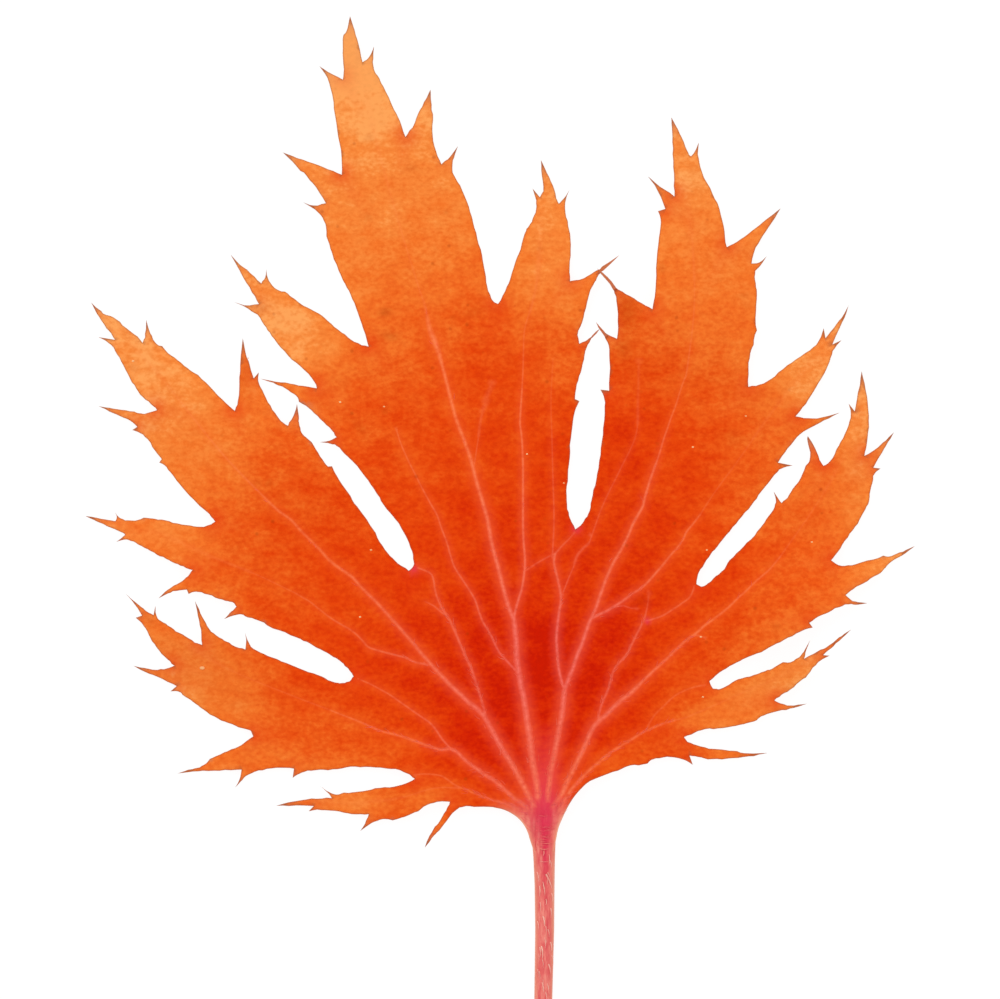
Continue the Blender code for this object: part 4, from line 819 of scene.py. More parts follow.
class Outline:
    """The blade's margin, as a closed row of points, with its teeth and its notches."""

    BUMPS = (
        (-1.45, 59.2), (-42.9, 50.35), (-24.15, 64.95), (-19.7, 78.3), (21.65, 49.1), (10.69, 5.65),
        (-10.7, 70.4), (13.2, 67.55), (-25.5, 52.75), (4.55, 52.4), (-6.9, 58.9), (24.4, 48.9),
        (-37.6, 46.2), (-15.9, 50.9),
    )
    BUMP_HEIGHT = 0.20
    BUMP_RADIUS = 0.25
    # The lengths of the waves in which the margin wanders, and their seed.
    WANDER = (0.55, 0.8, 1.1, 1.6, 2.4)
    SEED = 5
    # The shortest and the longest reach of the dry colour, and its largest share of the way to a notch.
    FADES = (0.14, 0.85)
    NOTCH_SHARE = 0.4
    # How far along the margin each side of a notch is followed to see how deep it is.
    DEEP = 3.4
    # The red at the bottom of a notch: its radius, and its trail's strength, half width and length.
    NOTCH_RADIUS = 1.1
    TRAIL = (0.45, 0.55, 3.2)
    # How far to look for a notch and for the margin itself.
    NOTCH_REACH = 7.0
    GAP_REACH = 3.0

    def __init__(self, knots: tuple, steps: int, unevenness: float = 0.0) -> None:
        """Draws the margin.

        Args:
            knots: The knots of the margin, in order.
            steps: How many points each stretch between two knots gets.
            unevenness: How far the margin wanders from the curve, in millimetres.
        """
        points = closed_curve("margin", self.sharpen(knots), steps)
        x, y = points.T
        if (x * np.roll(y, -1) - np.roll(x, -1) * y).sum() > 0:
            points = points[::-1]
        self.tips = np.array([knot[:2] for knot in knots if len(knot) == 3])
        if unevenness:
            points = self.roughen(points, unevenness)
        self.points = points
        self.faint = False
        self.starts, self.ends = points, np.roll(points, -1, axis=0)
        self.loop = np.vstack([points, points[:1]])
        self.length = np.concatenate([[0.0], np.cumsum(np.linalg.norm(self.ends - self.starts, axis=1))])
        self.notches = self.find_notches(window=0.7, turn=1.15)
        self.fades, self.into = self.find_fades(reach=1.0)

    @staticmethod
    def sharpen(knots: tuple, corner: float = 45.0, shared: float = 75.0, near: float = 0.9) -> list:
        """Marks the knots at the bottoms of the notches as sharp, too, and joins two that share one corner.

        Args:
            knots: The knots of the margin, clockwise.
            corner: The least turn of a sharp corner, in degrees.
            shared: The least turn of two knots together that share a corner, in degrees.
            near: The longest stretch that can be closed up to a corner, in millimetres.

        Returns:
            The knots, more of them with a third entry.
        """
        at = np.array([knot[:2] for knot in knots])
        u, v = at - np.roll(at, 1, axis=0), np.roll(at, -1, axis=0) - at
        turn = np.degrees(np.arctan2(u[:, 0] * v[:, 1] - u[:, 1] * v[:, 0], (u * v).sum(axis=1)))
        least, furthest = 22.0, 0.7
        found, k, count = [], 0, len(knots)
        while k < count:
            after = (k + 1) % count
            pair = len(knots[k]) == 2 and len(knots[after]) == 2 and k + 1 < count
            pair = pair and min(turn[k], turn[after]) > least and turn[k] + turn[after] > shared
            if pair and math.dist(at[k], at[after]) < near:
                run, back = u[k], -v[after]
                area = run[0] * back[1] - run[1] * back[0]
                gap = at[after] - at[k]
                reach = (gap[0] * back[1] - gap[1] * back[0]) / area if abs(area) > 1e-6 else -1.0
                met = at[k] + reach * run
                middle = (at[k] + at[after]) / 2
                if reach > 0 and math.dist(met, middle) < furthest:
                    found.append((*(0.3 * middle + 0.7 * met).tolist(), TIP))
                    k += 2
                    continue
            sharp = len(knots[k]) == 3 or abs(turn[k]) > corner
            found.append((*knots[k][:2], TIP) if sharp else knots[k])
            k += 1
        return found

    def roughen(self, points: Array, unevenness: float) -> Array:
        """Lets the margin wander a little, and adds its small bumps.

        Args:
            points: The margin, one x, y row each.
            unevenness: How far it wanders, in millimetres.

        Returns:
            The margin, moved.
        """
        rng = np.random.default_rng(self.SEED)
        step = np.linalg.norm(np.roll(points, -1, axis=0) - points, axis=1)
        at = np.concatenate([[0.0], np.cumsum(step)[:-1]])
        total = step.sum()
        wander = np.zeros(len(points))
        for length in self.WANDER:
            turns = round(total / length)
            # Two near wavelengths beat, so that calm and uneven stretches take turns.
            for turns_near in (turns, turns + 37):
                wander += np.sin(2 * math.pi * (turns_near * at / total + rng.uniform()))
        wander *= unevenness / 2.2
        # The margin is calm at the teeth's tips and where it runs into the stalk.
        from_tip = np.linalg.norm(points[:, None] - self.tips[None], axis=2).min(axis=1)
        from_stalk = np.hypot(points[:, 0] - 0.4, points[:, 1])
        wander *= smoothstep(0.3, 1.4, from_tip) * smoothstep(3.0, 7.0, from_stalk)
        for x, y in self.BUMPS:
            squared = (points[:, 0] - x) ** 2 + (points[:, 1] - y) ** 2
            wander += self.BUMP_HEIGHT * np.exp(-(squared / self.BUMP_RADIUS**2))
        return inward(points, -wander)

    def where(self, along: Array) -> Array:
        """The places at the given distances along the margin, one x, y row each."""
        along = np.mod(along, self.length[-1])
        return np.column_stack([np.interp(along, self.length, self.loop[:, k]) for k in (0, 1)])

    def find_fades(self, reach: float) -> tuple[Array, Array]:
        """How far the dry colour reaches in from each tooth: far on sharp ones, hardly on blunt bumps.

        Args:
            reach: How far along the margin to look each way for the width of the tooth, in millimetres.

        Returns:
            One length in millimetres for each tooth, and the direction from its tip into the blade.
        """
        nearest = np.linalg.norm(self.tips[:, None] - self.points[None], axis=2).argmin(axis=1)
        at = self.length[nearest]
        after, before = self.where(at + reach), self.where(at - reach)
        blunt, sharp = 1.5, 0.8
        fades = self.FADES[1] * smoothstep(blunt, sharp, np.linalg.norm(after - before, axis=1) / reach)
        into = (after + before) / 2 - self.where(at)
        into /= np.maximum(np.linalg.norm(into, axis=1), 1e-9)[:, None]
        if len(self.notches):
            gaps = np.linalg.norm(self.tips[:, None] - self.notches[None, :, :2], axis=2).min(axis=1)
            fades = np.minimum(fades, self.NOTCH_SHARE * gaps)
        return np.clip(fades, *self.FADES), into

    def find_notches(self, window: float, turn: float) -> Array:
        """The places where the margin turns back on itself: between teeth and at the ends of the slots.

        Args:
            window: How far along the margin to look each way, in millimetres.
            turn: The least turn that counts, in radians.

        Returns:
            The places, the directions into the blade and how deep the notch is from 0 to 1, one
            x, y, dx, dy, depth row each.
        """
        step = 0.15
        at = np.arange(0, self.length[-1], step)
        here, before, after = self.where(at), self.where(at - window), self.where(at + window)
        u, v = here - before, after - here
        bend = np.arctan2(u[:, 0] * v[:, 1] - u[:, 1] * v[:, 0], (u * v).sum(axis=1))
        into = u - v
        into /= np.maximum(np.linalg.norm(into, axis=1), 1e-9)[:, None]
        # A side that winds round a short tooth doesn't get far from the notch.
        sides = [np.linalg.norm(self.where(at + way * self.DEEP) - here, axis=1) for way in (-1, 1)]
        deep = smoothstep(0.45, 0.85, np.minimum(*sides) / self.DEEP)
        return np.column_stack([here, into, deep])[bend > turn]

    def notch_mask(self, points: Array) -> Array:
        """How much of the red at the bottoms of the notches, and of its trail into the blade, shows.

        Args:
            points: Rows of x and y.

        Returns:
            The mask from 0 to 1.
        """
        found = np.zeros(len(points))
        for x, y, dx, dy, deep in self.notches:
            offset = points - (x, y)
            rows = np.nonzero((np.abs(offset) < self.NOTCH_REACH).all(axis=1))[0]
            along = offset[rows, 0] * dx + offset[rows, 1] * dy
            across = offset[rows, 1] * dx - offset[rows, 0] * dy
            near = np.exp(-((along**2 + across**2) / self.NOTCH_RADIUS**2))
            strength, half, length = self.TRAIL
            trail = np.exp(-((across / half) ** 2)) * np.exp(-((along / length) ** 2)) * (along > 0)
            found[rows] = np.maximum(found[rows], deep * np.maximum(near, strength * trail))
        return found

    def gap(self, points: Array) -> Array:
        """The distance from each point to the margin, in millimetres; deep inside it may be too large."""
        order = np.argsort(points[:, 1])
        found = np.empty(len(points))
        low = np.minimum(self.starts[:, 1], self.ends[:, 1])
        high = np.maximum(self.starts[:, 1], self.ends[:, 1])
        batch = 1500
        for first in range(0, len(points), batch):
            rows = order[first : first + batch]
            part = points[rows]
            near = (high > part[:, 1].min() - self.GAP_REACH) & (low < part[:, 1].max() + self.GAP_REACH)
            if not near.any():
                near[:] = True
            found[rows] = gap_to_segments(part, self.starts[near], self.ends[near])
        return found

    def fill(self, points: list[Point]) -> tuple[Array, Faces]:
        """Joins up points in plan, inside the margin.

        Args:
            points: The margin's points, in order, and then the others.

        Returns:
            The points, one x, y row each, and the triangles.
        """
        ring = list(range(len(self.points)))[::-1]
        joined = delaunay_2d_cdt([Vector(point) for point in points], [], [ring], 0, 1e-5, True)
        places, triangles, sources = joined[0], joined[2], joined[5]
        inside = [tuple(triangle) for triangle, source in zip(triangles, sources) if source]
        return np.array([tuple(place) for place in places]), inside


@dataclass
class Blade:
    """The blade: one closed skin with its margin, furrows over the veins and ribs under them.

    Attributes:
        shift: How far it is moved in plan onto the row frame.
        pitch: The distance between its points, away from the margin and the veins.
        rim_rows: Depth, in rim insets, and spacing of each row of points inside the margin.
        vein_rows: How far to the side each row of points along a vein lies, in half widths.
        clearance: How far the other points keep from the margin.
        quilt_cell: How far from a vein the quilting has risen; it is seen out to quilt_reach.
        seat: Depth, centre x and width of the hollow that the stalk runs into.
    """

    STORED = ("tone", "stain_and_shade", "blush", "across", "stalk", "vein", "halo", "rim", "tip", "notch", "depth")

    lie: Lie
    tint: Tint
    veins: VeinMap
    outline: Outline
    shift: Array
    pitch: float = 0.42
    thickness: float = 0.36
    tooth_thickness: float = 0.22
    tooth_reach: float = 2.5
    rim_inset: float = 0.15
    rim_round: float = 0.07
    rim_rows: tuple[Point, ...] = ((1, 0.10), (2.4, 0.16), (4.4, 0.26))
    vein_rows: tuple[float, ...] = (0.0, 1.0, -1.0, 0.5, -0.5, 2.2, -2.2)
    clearance: float = 0.28
    furrow: float = 0.05
    quilting: float = 0.10
    quilt_cell: float = 1.8
    quilt_reach: float = 45.0
    seat: tuple[float, float, float] = (0.55, 0.38, 0.75)

    def plan(self) -> tuple[Array, Faces]:
        """Sows the points of the blade and joins them up in plan.

        Returns:
            The points, one x, y row each, and the triangles.
        """
        margin = self.outline.points
        spacing = Spacing(cell=0.5)
        spacing.take(margin, 0.0)
        for insets, apart in self.rim_rows:
            offset = self.rim_inset * insets
            inner = inward(margin, offset)
            spacing.take(inner[self.outline.gap(inner) > 0.85 * offset], apart)
        for share in self.vein_rows:
            for line in self.veins.lines:
                along = np.gradient(line[:, :2], axis=0)
                along /= np.linalg.norm(along, axis=1)[:, None]
                reach = 0.5 * line[:, 2] * share
                row = line[:, :2] + reach[:, None] * np.column_stack([-along[:, 1], along[:, 0]])
                row = row[self.inside(row)]
                spacing.take(row[self.outline.gap(row) > self.clearance], 0.10 if abs(share) <= 1 else 0.2)
        low, high = margin.min(axis=0), margin.max(axis=0)
        row_step = self.pitch * math.sqrt(3) / 2
        columns = np.arange(low[0], high[0], self.pitch)
        grid = np.vstack([
            np.column_stack([columns + 0.5 * self.pitch * (k % 2), np.full(len(columns), y)])
            for k, y in enumerate(np.arange(low[1], high[1], row_step))
        ])
        grid = grid[self.inside(grid)]
        spacing.take(grid[self.outline.gap(grid) > self.clearance], 0.62 * self.pitch)
        return self.outline.fill(spacing.taken)

    def inside(self, spots: Array) -> Array:
        """Which of the spots lie inside the margin, by counting the edges to the right of each.

        Args:
            spots: The spots, one x, y row each.

        Returns:
            True for each spot inside.
        """
        x1, y1 = self.outline.starts.T
        x2, y2 = self.outline.ends.T
        rise = np.where(y2 == y1, 1.0, y2 - y1)
        found, batch = [], 2000
        for first in range(0, len(spots), batch):
            x, y = spots[first : first + batch, 0:1], spots[first : first + batch, 1:2]
            crossed = ((y1 > y) != (y2 > y)) & (x < x1 + (x2 - x1) * (y - y1) / rise)
            found.append(crossed.sum(axis=1) % 2 == 1)
        return np.concatenate(found) if found else np.zeros(0, bool)

    def heights(self, plan: Array, masks: dict[str, Array]) -> tuple[Array, Array]:
        """How high the upper side and the underside are at each of the points.

        Args:
            plan: Rows of x and y.
            masks: The masks of those points.

        Returns:
            The heights of the upper side and of the underside, in millimetres.
        """
        base = self.lie.stand_off(plan)
        thin = np.clip(masks["tip_gap"] / self.tooth_reach, 0, 1)
        thickness = self.tooth_thickness + (self.thickness - self.tooth_thickness) * thin
        quilt = self.quilting * (1 - np.exp(-((masks["gap"] / self.quilt_cell) ** 2)))
        quilt = quilt * np.exp(-((masks["reach"] / self.quilt_reach) ** 2))
        rim = masks["rim"] ** 2
        depth, centre, width = self.seat
        seat = depth * np.exp(-(((plan[:, 0] - centre) / width) ** 2)) * smoothstep(1.6, -1.2, plan[:, 1])
        over = base + thickness + quilt - self.furrow * masks["vein"] - self.rim_round * rim - seat
        under = np.maximum(base + 0.6 * quilt - masks["depth"] + 0.7 * self.rim_round * rim - seat, 0.0)
        return over, under

    def masks(self, plan: Array, outline: Outline) -> dict[str, Array]:
        """Works out every mask that the finish mixes its colours from.

        Args:
            plan: Rows of x and y.
            outline: The margin to measure from.

        Returns:
            One row of values for each mask.
        """
        found = self.veins.masks(plan)
        edge = outline.gap(plan)
        found["rim"] = np.clip(1.25 * (1 - edge / self.rim_inset), 0, 1) * (0.4 if outline.faint else 1.0)
        offsets = plan[:, None] - outline.tips[None]
        gaps = np.linalg.norm(offsets, axis=2)
        found["tip_gap"] = gaps.min(axis=1)
        # A tooth dries from its tip inwards, and a little way on along its edges.
        behind = (offsets * outline.into[None]).sum(axis=2) < -0.2
        scaled = (np.where(behind, 99.0, gaps) / outline.fades).min(axis=1)
        along_edge = 0.45 * smoothstep(0.95, 0.25, edge) * np.exp(-((scaled / 2.1) ** 2))
        dry = np.maximum(np.exp(-(scaled**2)) + along_edge, 0.85 if outline.faint else 0.0)
        found["tip"] = np.clip(dry, 0, 1)
        found["notch"] = self.outline.notch_mask(plan)
        found["reach"] = np.hypot(plan[:, 0], plan[:, 1] - PARTING_Y)
        between = 1 - np.exp(-((found["gap"] / 1.5) ** 2))
        near_base = np.exp(-((found["reach"] / 34.0) ** 2))
        found["tone"] = self.tint.tone(plan) + near_base * (0.07 - 0.12 * between)
        found["stain_and_shade"] = self.tint.stain_and_shade(plan)
        found.update(base_masks(plan))
        found["blush"] = np.maximum(found["blush"], self.tint.rose(plan))
        return found

    def skin(
        self, name: str, plan: Array, triangles: Faces, outline: Outline, lift: float
    ) -> Object:
        """Gives a flat sheet its thickness, its heights and its masks.

        Args:
            name: The object's name.
            plan: The sheet's points, one x, y row each.
            triangles: The sheet's triangles.
            outline: The margin to measure from.
            lift: How much higher than the blade it lies, in millimetres.

        Returns:
            The closed skin, in the row frame.
        """
        flat = np.column_stack([plan, np.zeros(len(plan))]) * MM
        sheet = add_mesh(name, flat, triangles)
        face_outwards(sheet)
        if sum(face.normal.z for face in sheet.data.polygons) < 0:
            sheet.data.flip_normals()
        solid = sheet.modifiers.new("thickness", "SOLIDIFY")
        solid.thickness = self.thickness * MM
        solid.offset = -1.0
        bpy.ops.object.modifier_apply(modifier=solid.name)
        points = positions(sheet)
        spots = points[:, :2] / MM
        masks = self.masks(spots[: len(plan)], outline)
        masks = {mask: np.tile(values, 2) for mask, values in masks.items()}
        over, under = self.heights(spots, masks)
        upper = points[:, 2] > -0.5 * self.thickness * MM
        points[:, 2] = (np.where(upper, over, under) + lift) * MM
        points[:, :2] += self.shift * MM
        set_positions(sheet, points)
        for mask in self.STORED:
            set_mask(sheet, mask, masks[mask])
        down = np.array([face.normal.z < -0.5 for face in sheet.data.polygons])
        sides = np.where(down, Side.UNDER.value, Side.UPPER.value).astype(np.int32)
        sheet.data.polygons.foreach_set("material_index", sides)
        return sheet

    def build(self) -> Object:
        """Builds the blade with the ends of its crossing teeth.

        Returns:
            The blade, one object.
        """
        plan, triangles = self.plan()
        skins = [self.skin("leaf_blade", plan, triangles, self.outline, 0.0)]
        for k, (corners, lift) in enumerate(LONG_TEETH):
            outline = Outline(tuple((*corner, TIP) for corner in corners), 1)
            middle = np.mean(corners, axis=0)
            outline.tips = np.array([max(corners, key=lambda corner: math.dist(corner, middle))])
            outline.faint = True
            flat, faces = outline.fill(outline.points.tolist())
            skins.append(self.skin(f"tooth_end_{k}", flat, faces, outline, lift))
        blade = join(skins)
        smooth_shade(blade, 55.0)
        return blade


@dataclass(frozen=True)
class Course:
    """A size that changes along the leaf.

    Attributes:
        stations: Pairs of a place along Y, from the foot upwards, and the size there.
    """

    stations: tuple[Point, ...]

    def at(self, y: Array | float) -> Array | float:
        """The size at each of the places."""
        return np.interp(y, *zip(*self.stations))


MIDDLE = Course(((-30.5, -1.05), (-25, -0.25), (-18, 0.33), (-12, 0.47), (-3.5, 0.4), (0, 0.1), (1.1, -0.3)))
HALF_WIDTH = Course(
    ((-12, 0.95), (-8, 0.96), (-5.8, 1), (-3.5, 1.18), (-0.9, 1.65), (0, 2.05), (1.1, 3.2), (3, 5.5))
)
ROSE_WIDTH = Course(
    ((-7, 0.22), (-5.5, 0.26), (-4, 0.32), (-2, 0.52), (-1, 0.76), (0, 1.15), (1.5, 1.5), (3, 1.5), (6, 1.3))
)
ROSE_STRENGTH = Course(
    ((-7.5, 0), (-5.5, 0.5), (-4, 0.9), (-2, 1), (0.5, 0.95), (2, 0.88), (4, 0.6), (6, 0.32), (10, 0))
)


def base_masks(spots: Array) -> dict[str, Array]:
    """The masks of the leaf's base, which the blade and the stalk share so that their colours meet.

    Args:
        spots: Rows of x and y.

    Returns:
        "blush", the rose colour that runs down the middle; "across", 0 in the middle and 1 at the
        sides; "stalk", 1 where the blade has the stalk's colours.
    """
    x, y = spots[:, 0], spots[:, 1]
    across = np.clip(np.abs(x - MIDDLE.at(y)) / HALF_WIDTH.at(y), 0, 1)
    blush = ROSE_STRENGTH.at(y) * np.exp(-(((x - 0.5) / ROSE_WIDTH.at(y)) ** 2))
    aside = np.abs(x - 0.4)
    stalk = smoothstep(3.2, -0.3, y + 0.18 * aside) * smoothstep(7.0, 3.0, aside)
    return {"blush": blush, "across": across, "stalk": stalk}


@dataclass
class Stalk:
    """The leaf stalk: a slightly flattened stem with a groove on top, which swells at its foot.

    Attributes:
        shift: How far it is moved in plan onto the row frame.
        rings: Going down from the blade: y, half width, half height, centre x, height of its underside.
        foot_ring: The first of them on the rounded foot.
        groove: Depth of the groove on top, and its half width as a share of the stalk's.
    """

    shift: Array
    rings: Rows = (
        (6, 0.1, 0.08, 0.35, 1.24), (5.6, 0.4, 0.18, 0.35, 1.12), (4, 0.8, 0.32, 0.35, 1),
        (2, 1.15, 0.45, 0.36, 0.84), (0, 1.28, 0.6, 0.37, 0.62), (-1.8, 1.2, 0.72, 0.38, 0.42),
        (-3.8, 1.08, 0.8, 0.42, 0.26), (-6.5, 1, 0.86, 0.46, 0.12), (-11, 0.95, 0.88, 0.47, 0.04),
        (-18, 0.9, 0.87, 0.33, 0), (-25, 0.9, 0.88, -0.25, 0), (-30.5, 1.02, 0.96, -1.05, 0),
        (-33.6, 1.25, 1.12, -1.65, 0), (-34.9, 1.3, 1.15, -1.95, 0), (-35.4, 1.12, 1, -2.04, 0.14),
        (-35.5, 0.86, 0.78, -2.05, 0.36), (-35.1, 0.52, 0.46, -2, 0.68), (-34.9, 0.06, 0.05, -1.98, 1.08),
    )
    foot_ring: int = 14
    sides: int = 48
    stations: int = 150
    groove: Point = (0.16, 0.32)

    def ring_at(self, share: Array) -> Array:
        """The stalk's section at each share of the way down its rings.

        Args:
            share: Shares from 0 at the blade to 1 at the foot.

        Returns:
            Rows of y, half width, half height, centre x and height of the underside.
        """
        table = np.array(self.rings)
        run = np.concatenate([[0.0], np.cumsum(np.linalg.norm(np.diff(table, axis=0), axis=1))])
        at = share * run[-1]
        return np.column_stack([np.interp(at, run, table[:, k]) for k in range(5)])

    def top(self, x: float, y: float) -> float:
        """The height of the stalk's surface over the place x, y, in millimetres."""
        if not -35.0 < y < 6.0:
            return 0.0
        table = np.array(self.rings[: self.foot_ring])[::-1]
        row = (float(np.interp(y, table[:, 0], table[:, k])) for k in (1, 2, 3, 4))
        half_width, half_height, centre, under = row
        across = abs(x - centre) / half_width
        if across > 1.4:
            return 0.0
        across = min(across, 0.98)
        return under + half_height * (1 + math.sqrt(1 - across**2))

    def build(self) -> Object:
        """Builds the stalk from a sphere whose rings are moved to the stalk's sections.

        Returns:
            The stalk, in the row frame.
        """
        bpy.ops.mesh.primitive_uv_sphere_add(segments=self.sides, ring_count=self.stations, radius=1.0)
        stalk = bpy.context.view_layer.objects.active
        stalk.name = stalk.data.name = "leaf_stalk"
        ball = positions(stalk)
        share = np.arccos(np.clip(ball[:, 2], -1, 1)) / math.pi
        around = np.arctan2(ball[:, 1], ball[:, 0])
        rings = self.ring_at(share)
        pole = np.hypot(ball[:, 0], ball[:, 1]) > 1e-4
        across, up = np.cos(around) * pole, np.sin(around) * pole
        x = rings[:, 3] + rings[:, 1] * across
        z = rings[:, 4] + rings[:, 2] * (1 + up)
        y = rings[:, 0]
        depth = self.groove[0] * smoothstep(-12.0, -3.0, y) * smoothstep(4.0, 0.0, y)
        z -= depth * np.exp(-((across / self.groove[1]) ** 2)) * (up > 0)
        spots = np.column_stack([x, y])
        set_positions(stalk, (np.column_stack([x, y, z]) + [*self.shift, 0.0]) * MM)
        masks = base_masks(spots)
        set_mask(stalk, "blush", masks["blush"] * (up > -0.3))
        set_mask(stalk, "across", masks["across"])
        set_mask(stalk, "foot", smoothstep(-31.0, -35.5, y))
        face_outwards(stalk)
        smooth_shade(stalk, 60.0)
        return stalk


# The line that the stalk's hairs keep to, and how far to each side those across the base go.
STALK_LINE = Course(((-30.5, -1.05), (-25, -0.25), (-18, 0.33), (-12, 0.45)))
BASE_REACH = Course(((-4.6, 0.35), (-1.5, 0.75), (0.3, 2.2), (1.2, 2.6)))


@dataclass(frozen=True)
class Strand:
    """One hair: where it starts and ends, its radius and how far it bows sideways."""

    start: Point
    end: Point
    radius: float
    bow: float = 0.06


@dataclass
class Hairs:
    """The pale hairs: along the stalk, across the base of the blade and on the veins near it.

    Attributes:
        placed: Start x and y, end x and y and radius of the hairs that stand out most.
        scattered: How many more lie along the stalk.
        on_veins: How many lie on the veins, less those placed.
        taper: The share of a hair's radius at each of its points.
    """

    stalk: Stalk
    blade: Blade
    placed: Rows = (
        (0.6, -5.4, 1.2, -6.9, 0.085), (1.15, -7.3, 1.25, -8.2, 0.06), (-0.35, -2.2, -0.45, -3, 0.06),
        (-0.3, -5.2, -0.1, -6.2, 0.05), (0.3, -9.6, 0.45, -10.6, 0.07), (0.8, -10.9, 0.9, -11.7, 0.05),
        (0.15, -12.6, 0.25, -13.9, 0.08), (0.85, -14.4, 1.05, -15.4, 0.07), (0.2, -16.2, 0.35, -17.3, 0.06),
        (-0.25, -14.9, -0.15, -15.8, 0.05), (1.05, -12.2, 1.15, -13.1, 0.06), (0, -8.2, 0.05, -9.1, 0.05),
    )
    scattered: int = 52
    crossing: int = 34
    on_veins: int = 620
    seed: int = 11
    taper: tuple[float, ...] = (1.0, 0.95, 0.8, 0.55, 0.2)

    def strands(self) -> list[Strand]:
        """Chooses where the hairs lie.

        Returns:
            The hairs.
        """
        rng = random.Random(self.seed)
        found = [Strand((x1, y1), (x2, y2), radius) for x1, y1, x2, y2, radius in self.placed]
        for _ in range(self.scattered):
            found.append(self.stalk_hair(rng))
        for _ in range(self.crossing):
            found.append(self.crossing_hair(rng))
        while len(found) < self.on_veins + self.scattered + self.crossing:
            line = rng.choice(self.blade.veins.lines)
            k = rng.randrange(len(line) - 1)
            near_base = math.exp(-math.hypot(line[k, 0], line[k, 1]) / 12.0)
            if line[k, 2] < 0.3 or rng.random() > near_base:
                continue
            found.append(self.vein_hair(rng, line, k))
        return found

    @staticmethod
    def stalk_hair(rng: random.Random) -> Strand:
        """A hair that lies along the stalk."""
        y = rng.uniform(-33.0, -2.5)
        x = float(STALK_LINE.at(y)) + rng.uniform(-0.75, 0.75)
        end = (x + rng.uniform(-0.10, 0.20), y - rng.uniform(0.5, 1.2))
        return Strand((x, y), end, rng.uniform(0.03, 0.055))

    @staticmethod
    def crossing_hair(rng: random.Random) -> Strand:
        """A fine hair that lies across the base."""
        y = rng.triangular(-4.6, 1.2, -0.4)
        wide = float(BASE_REACH.at(y))
        x, length = 0.45 + rng.uniform(-wide, wide), rng.uniform(0.5, 1.1)
        rise = 0.35 * (x - 0.45) * length
        return Strand((x - length / 2, y), (x + length / 2, y + rise), rng.uniform(0.016, 0.028), -0.08)

    @staticmethod
    def vein_hair(rng: random.Random, line: Array, k: int) -> Strand:
        """A fine hair that lies along a vein, beside its point k."""
        x, y, width = line[k, 0], line[k, 1], line[k, 2]
        run = (line[k + 1, :2] - line[k, :2]) / np.linalg.norm(line[k + 1, :2] - line[k, :2])
        turn = rng.gauss(0.0, 0.35)
        across = rng.gauss(0.0, 0.32 * width)
        length = rng.uniform(0.35, 0.8)
        x, y = x - run[1] * across, y + run[0] * across
        dx = (run[0] * math.cos(turn) - run[1] * math.sin(turn)) * length
        dy = (run[1] * math.cos(turn) + run[0] * math.sin(turn)) * length
        return Strand((x, y), (x + dx, y + dy), rng.uniform(0.012, 0.024), rng.uniform(-0.05, 0.05))

    def build(self) -> Object:
        """Builds all the hairs as one object.

        Returns:
            The hairs, in the row frame.
        """
        strands = self.strands()
        count = len(self.taper)
        t = np.linspace(0, 1, count)
        arch = np.sin(math.pi * t)
        paths = []
        for strand in strands:
            start, end = np.array(strand.start), np.array(strand.end)
            side = np.array([start[1] - end[1], end[0] - start[0]]) / max(math.dist(start, end), 1e-6)
            paths.append(start + t[:, None] * (end - start) + strand.bow * arch[:, None] * side)
        spots = np.vstack(paths)
        over, _ = self.blade.heights(spots, self.blade.masks(spots, self.blade.outline))
        on_blade = self.blade.inside(spots)
        places = zip(spots, over, on_blade)
        ground = [max(self.stalk.top(x, y), high if inside else 0.0) for (x, y), high, inside in places]
        curve = bpy.data.curves.new("leaf_hairs", "CURVE")
        curve.dimensions = "3D"
        curve.bevel_depth = MM
        curve.bevel_resolution = 0
        curve.use_fill_caps = True
        for k, strand in enumerate(strands):
            spline = curve.splines.new("POLY")
            spline.points.add(count - 1)
            for i, point in enumerate(spline.points):
                x, y = spots[count * k + i] + self.blade.shift
                z = ground[count * k + i] + strand.radius * 0.4 + 0.03 * arch[i]
                point.co = (x * MM, y * MM, z * MM, 1.0)
                point.radius = strand.radius * self.taper[i]
        select_only(link(bpy.data.objects.new("leaf_hairs", curve)))
        bpy.ops.object.convert(target="MESH")
        hairs = bpy.context.view_layer.objects.active
        smooth_shade(hairs, 100.0)
        plan = positions(hairs)[:, :2] / MM - self.blade.shift
        set_mask(hairs, "fuzz", smoothstep(-4.5, -1.0, plan[:, 1]))
        set_mask(hairs, "far", smoothstep(1.0, 4.5, np.hypot(plan[:, 0], plan[:, 1])))
        return hairs


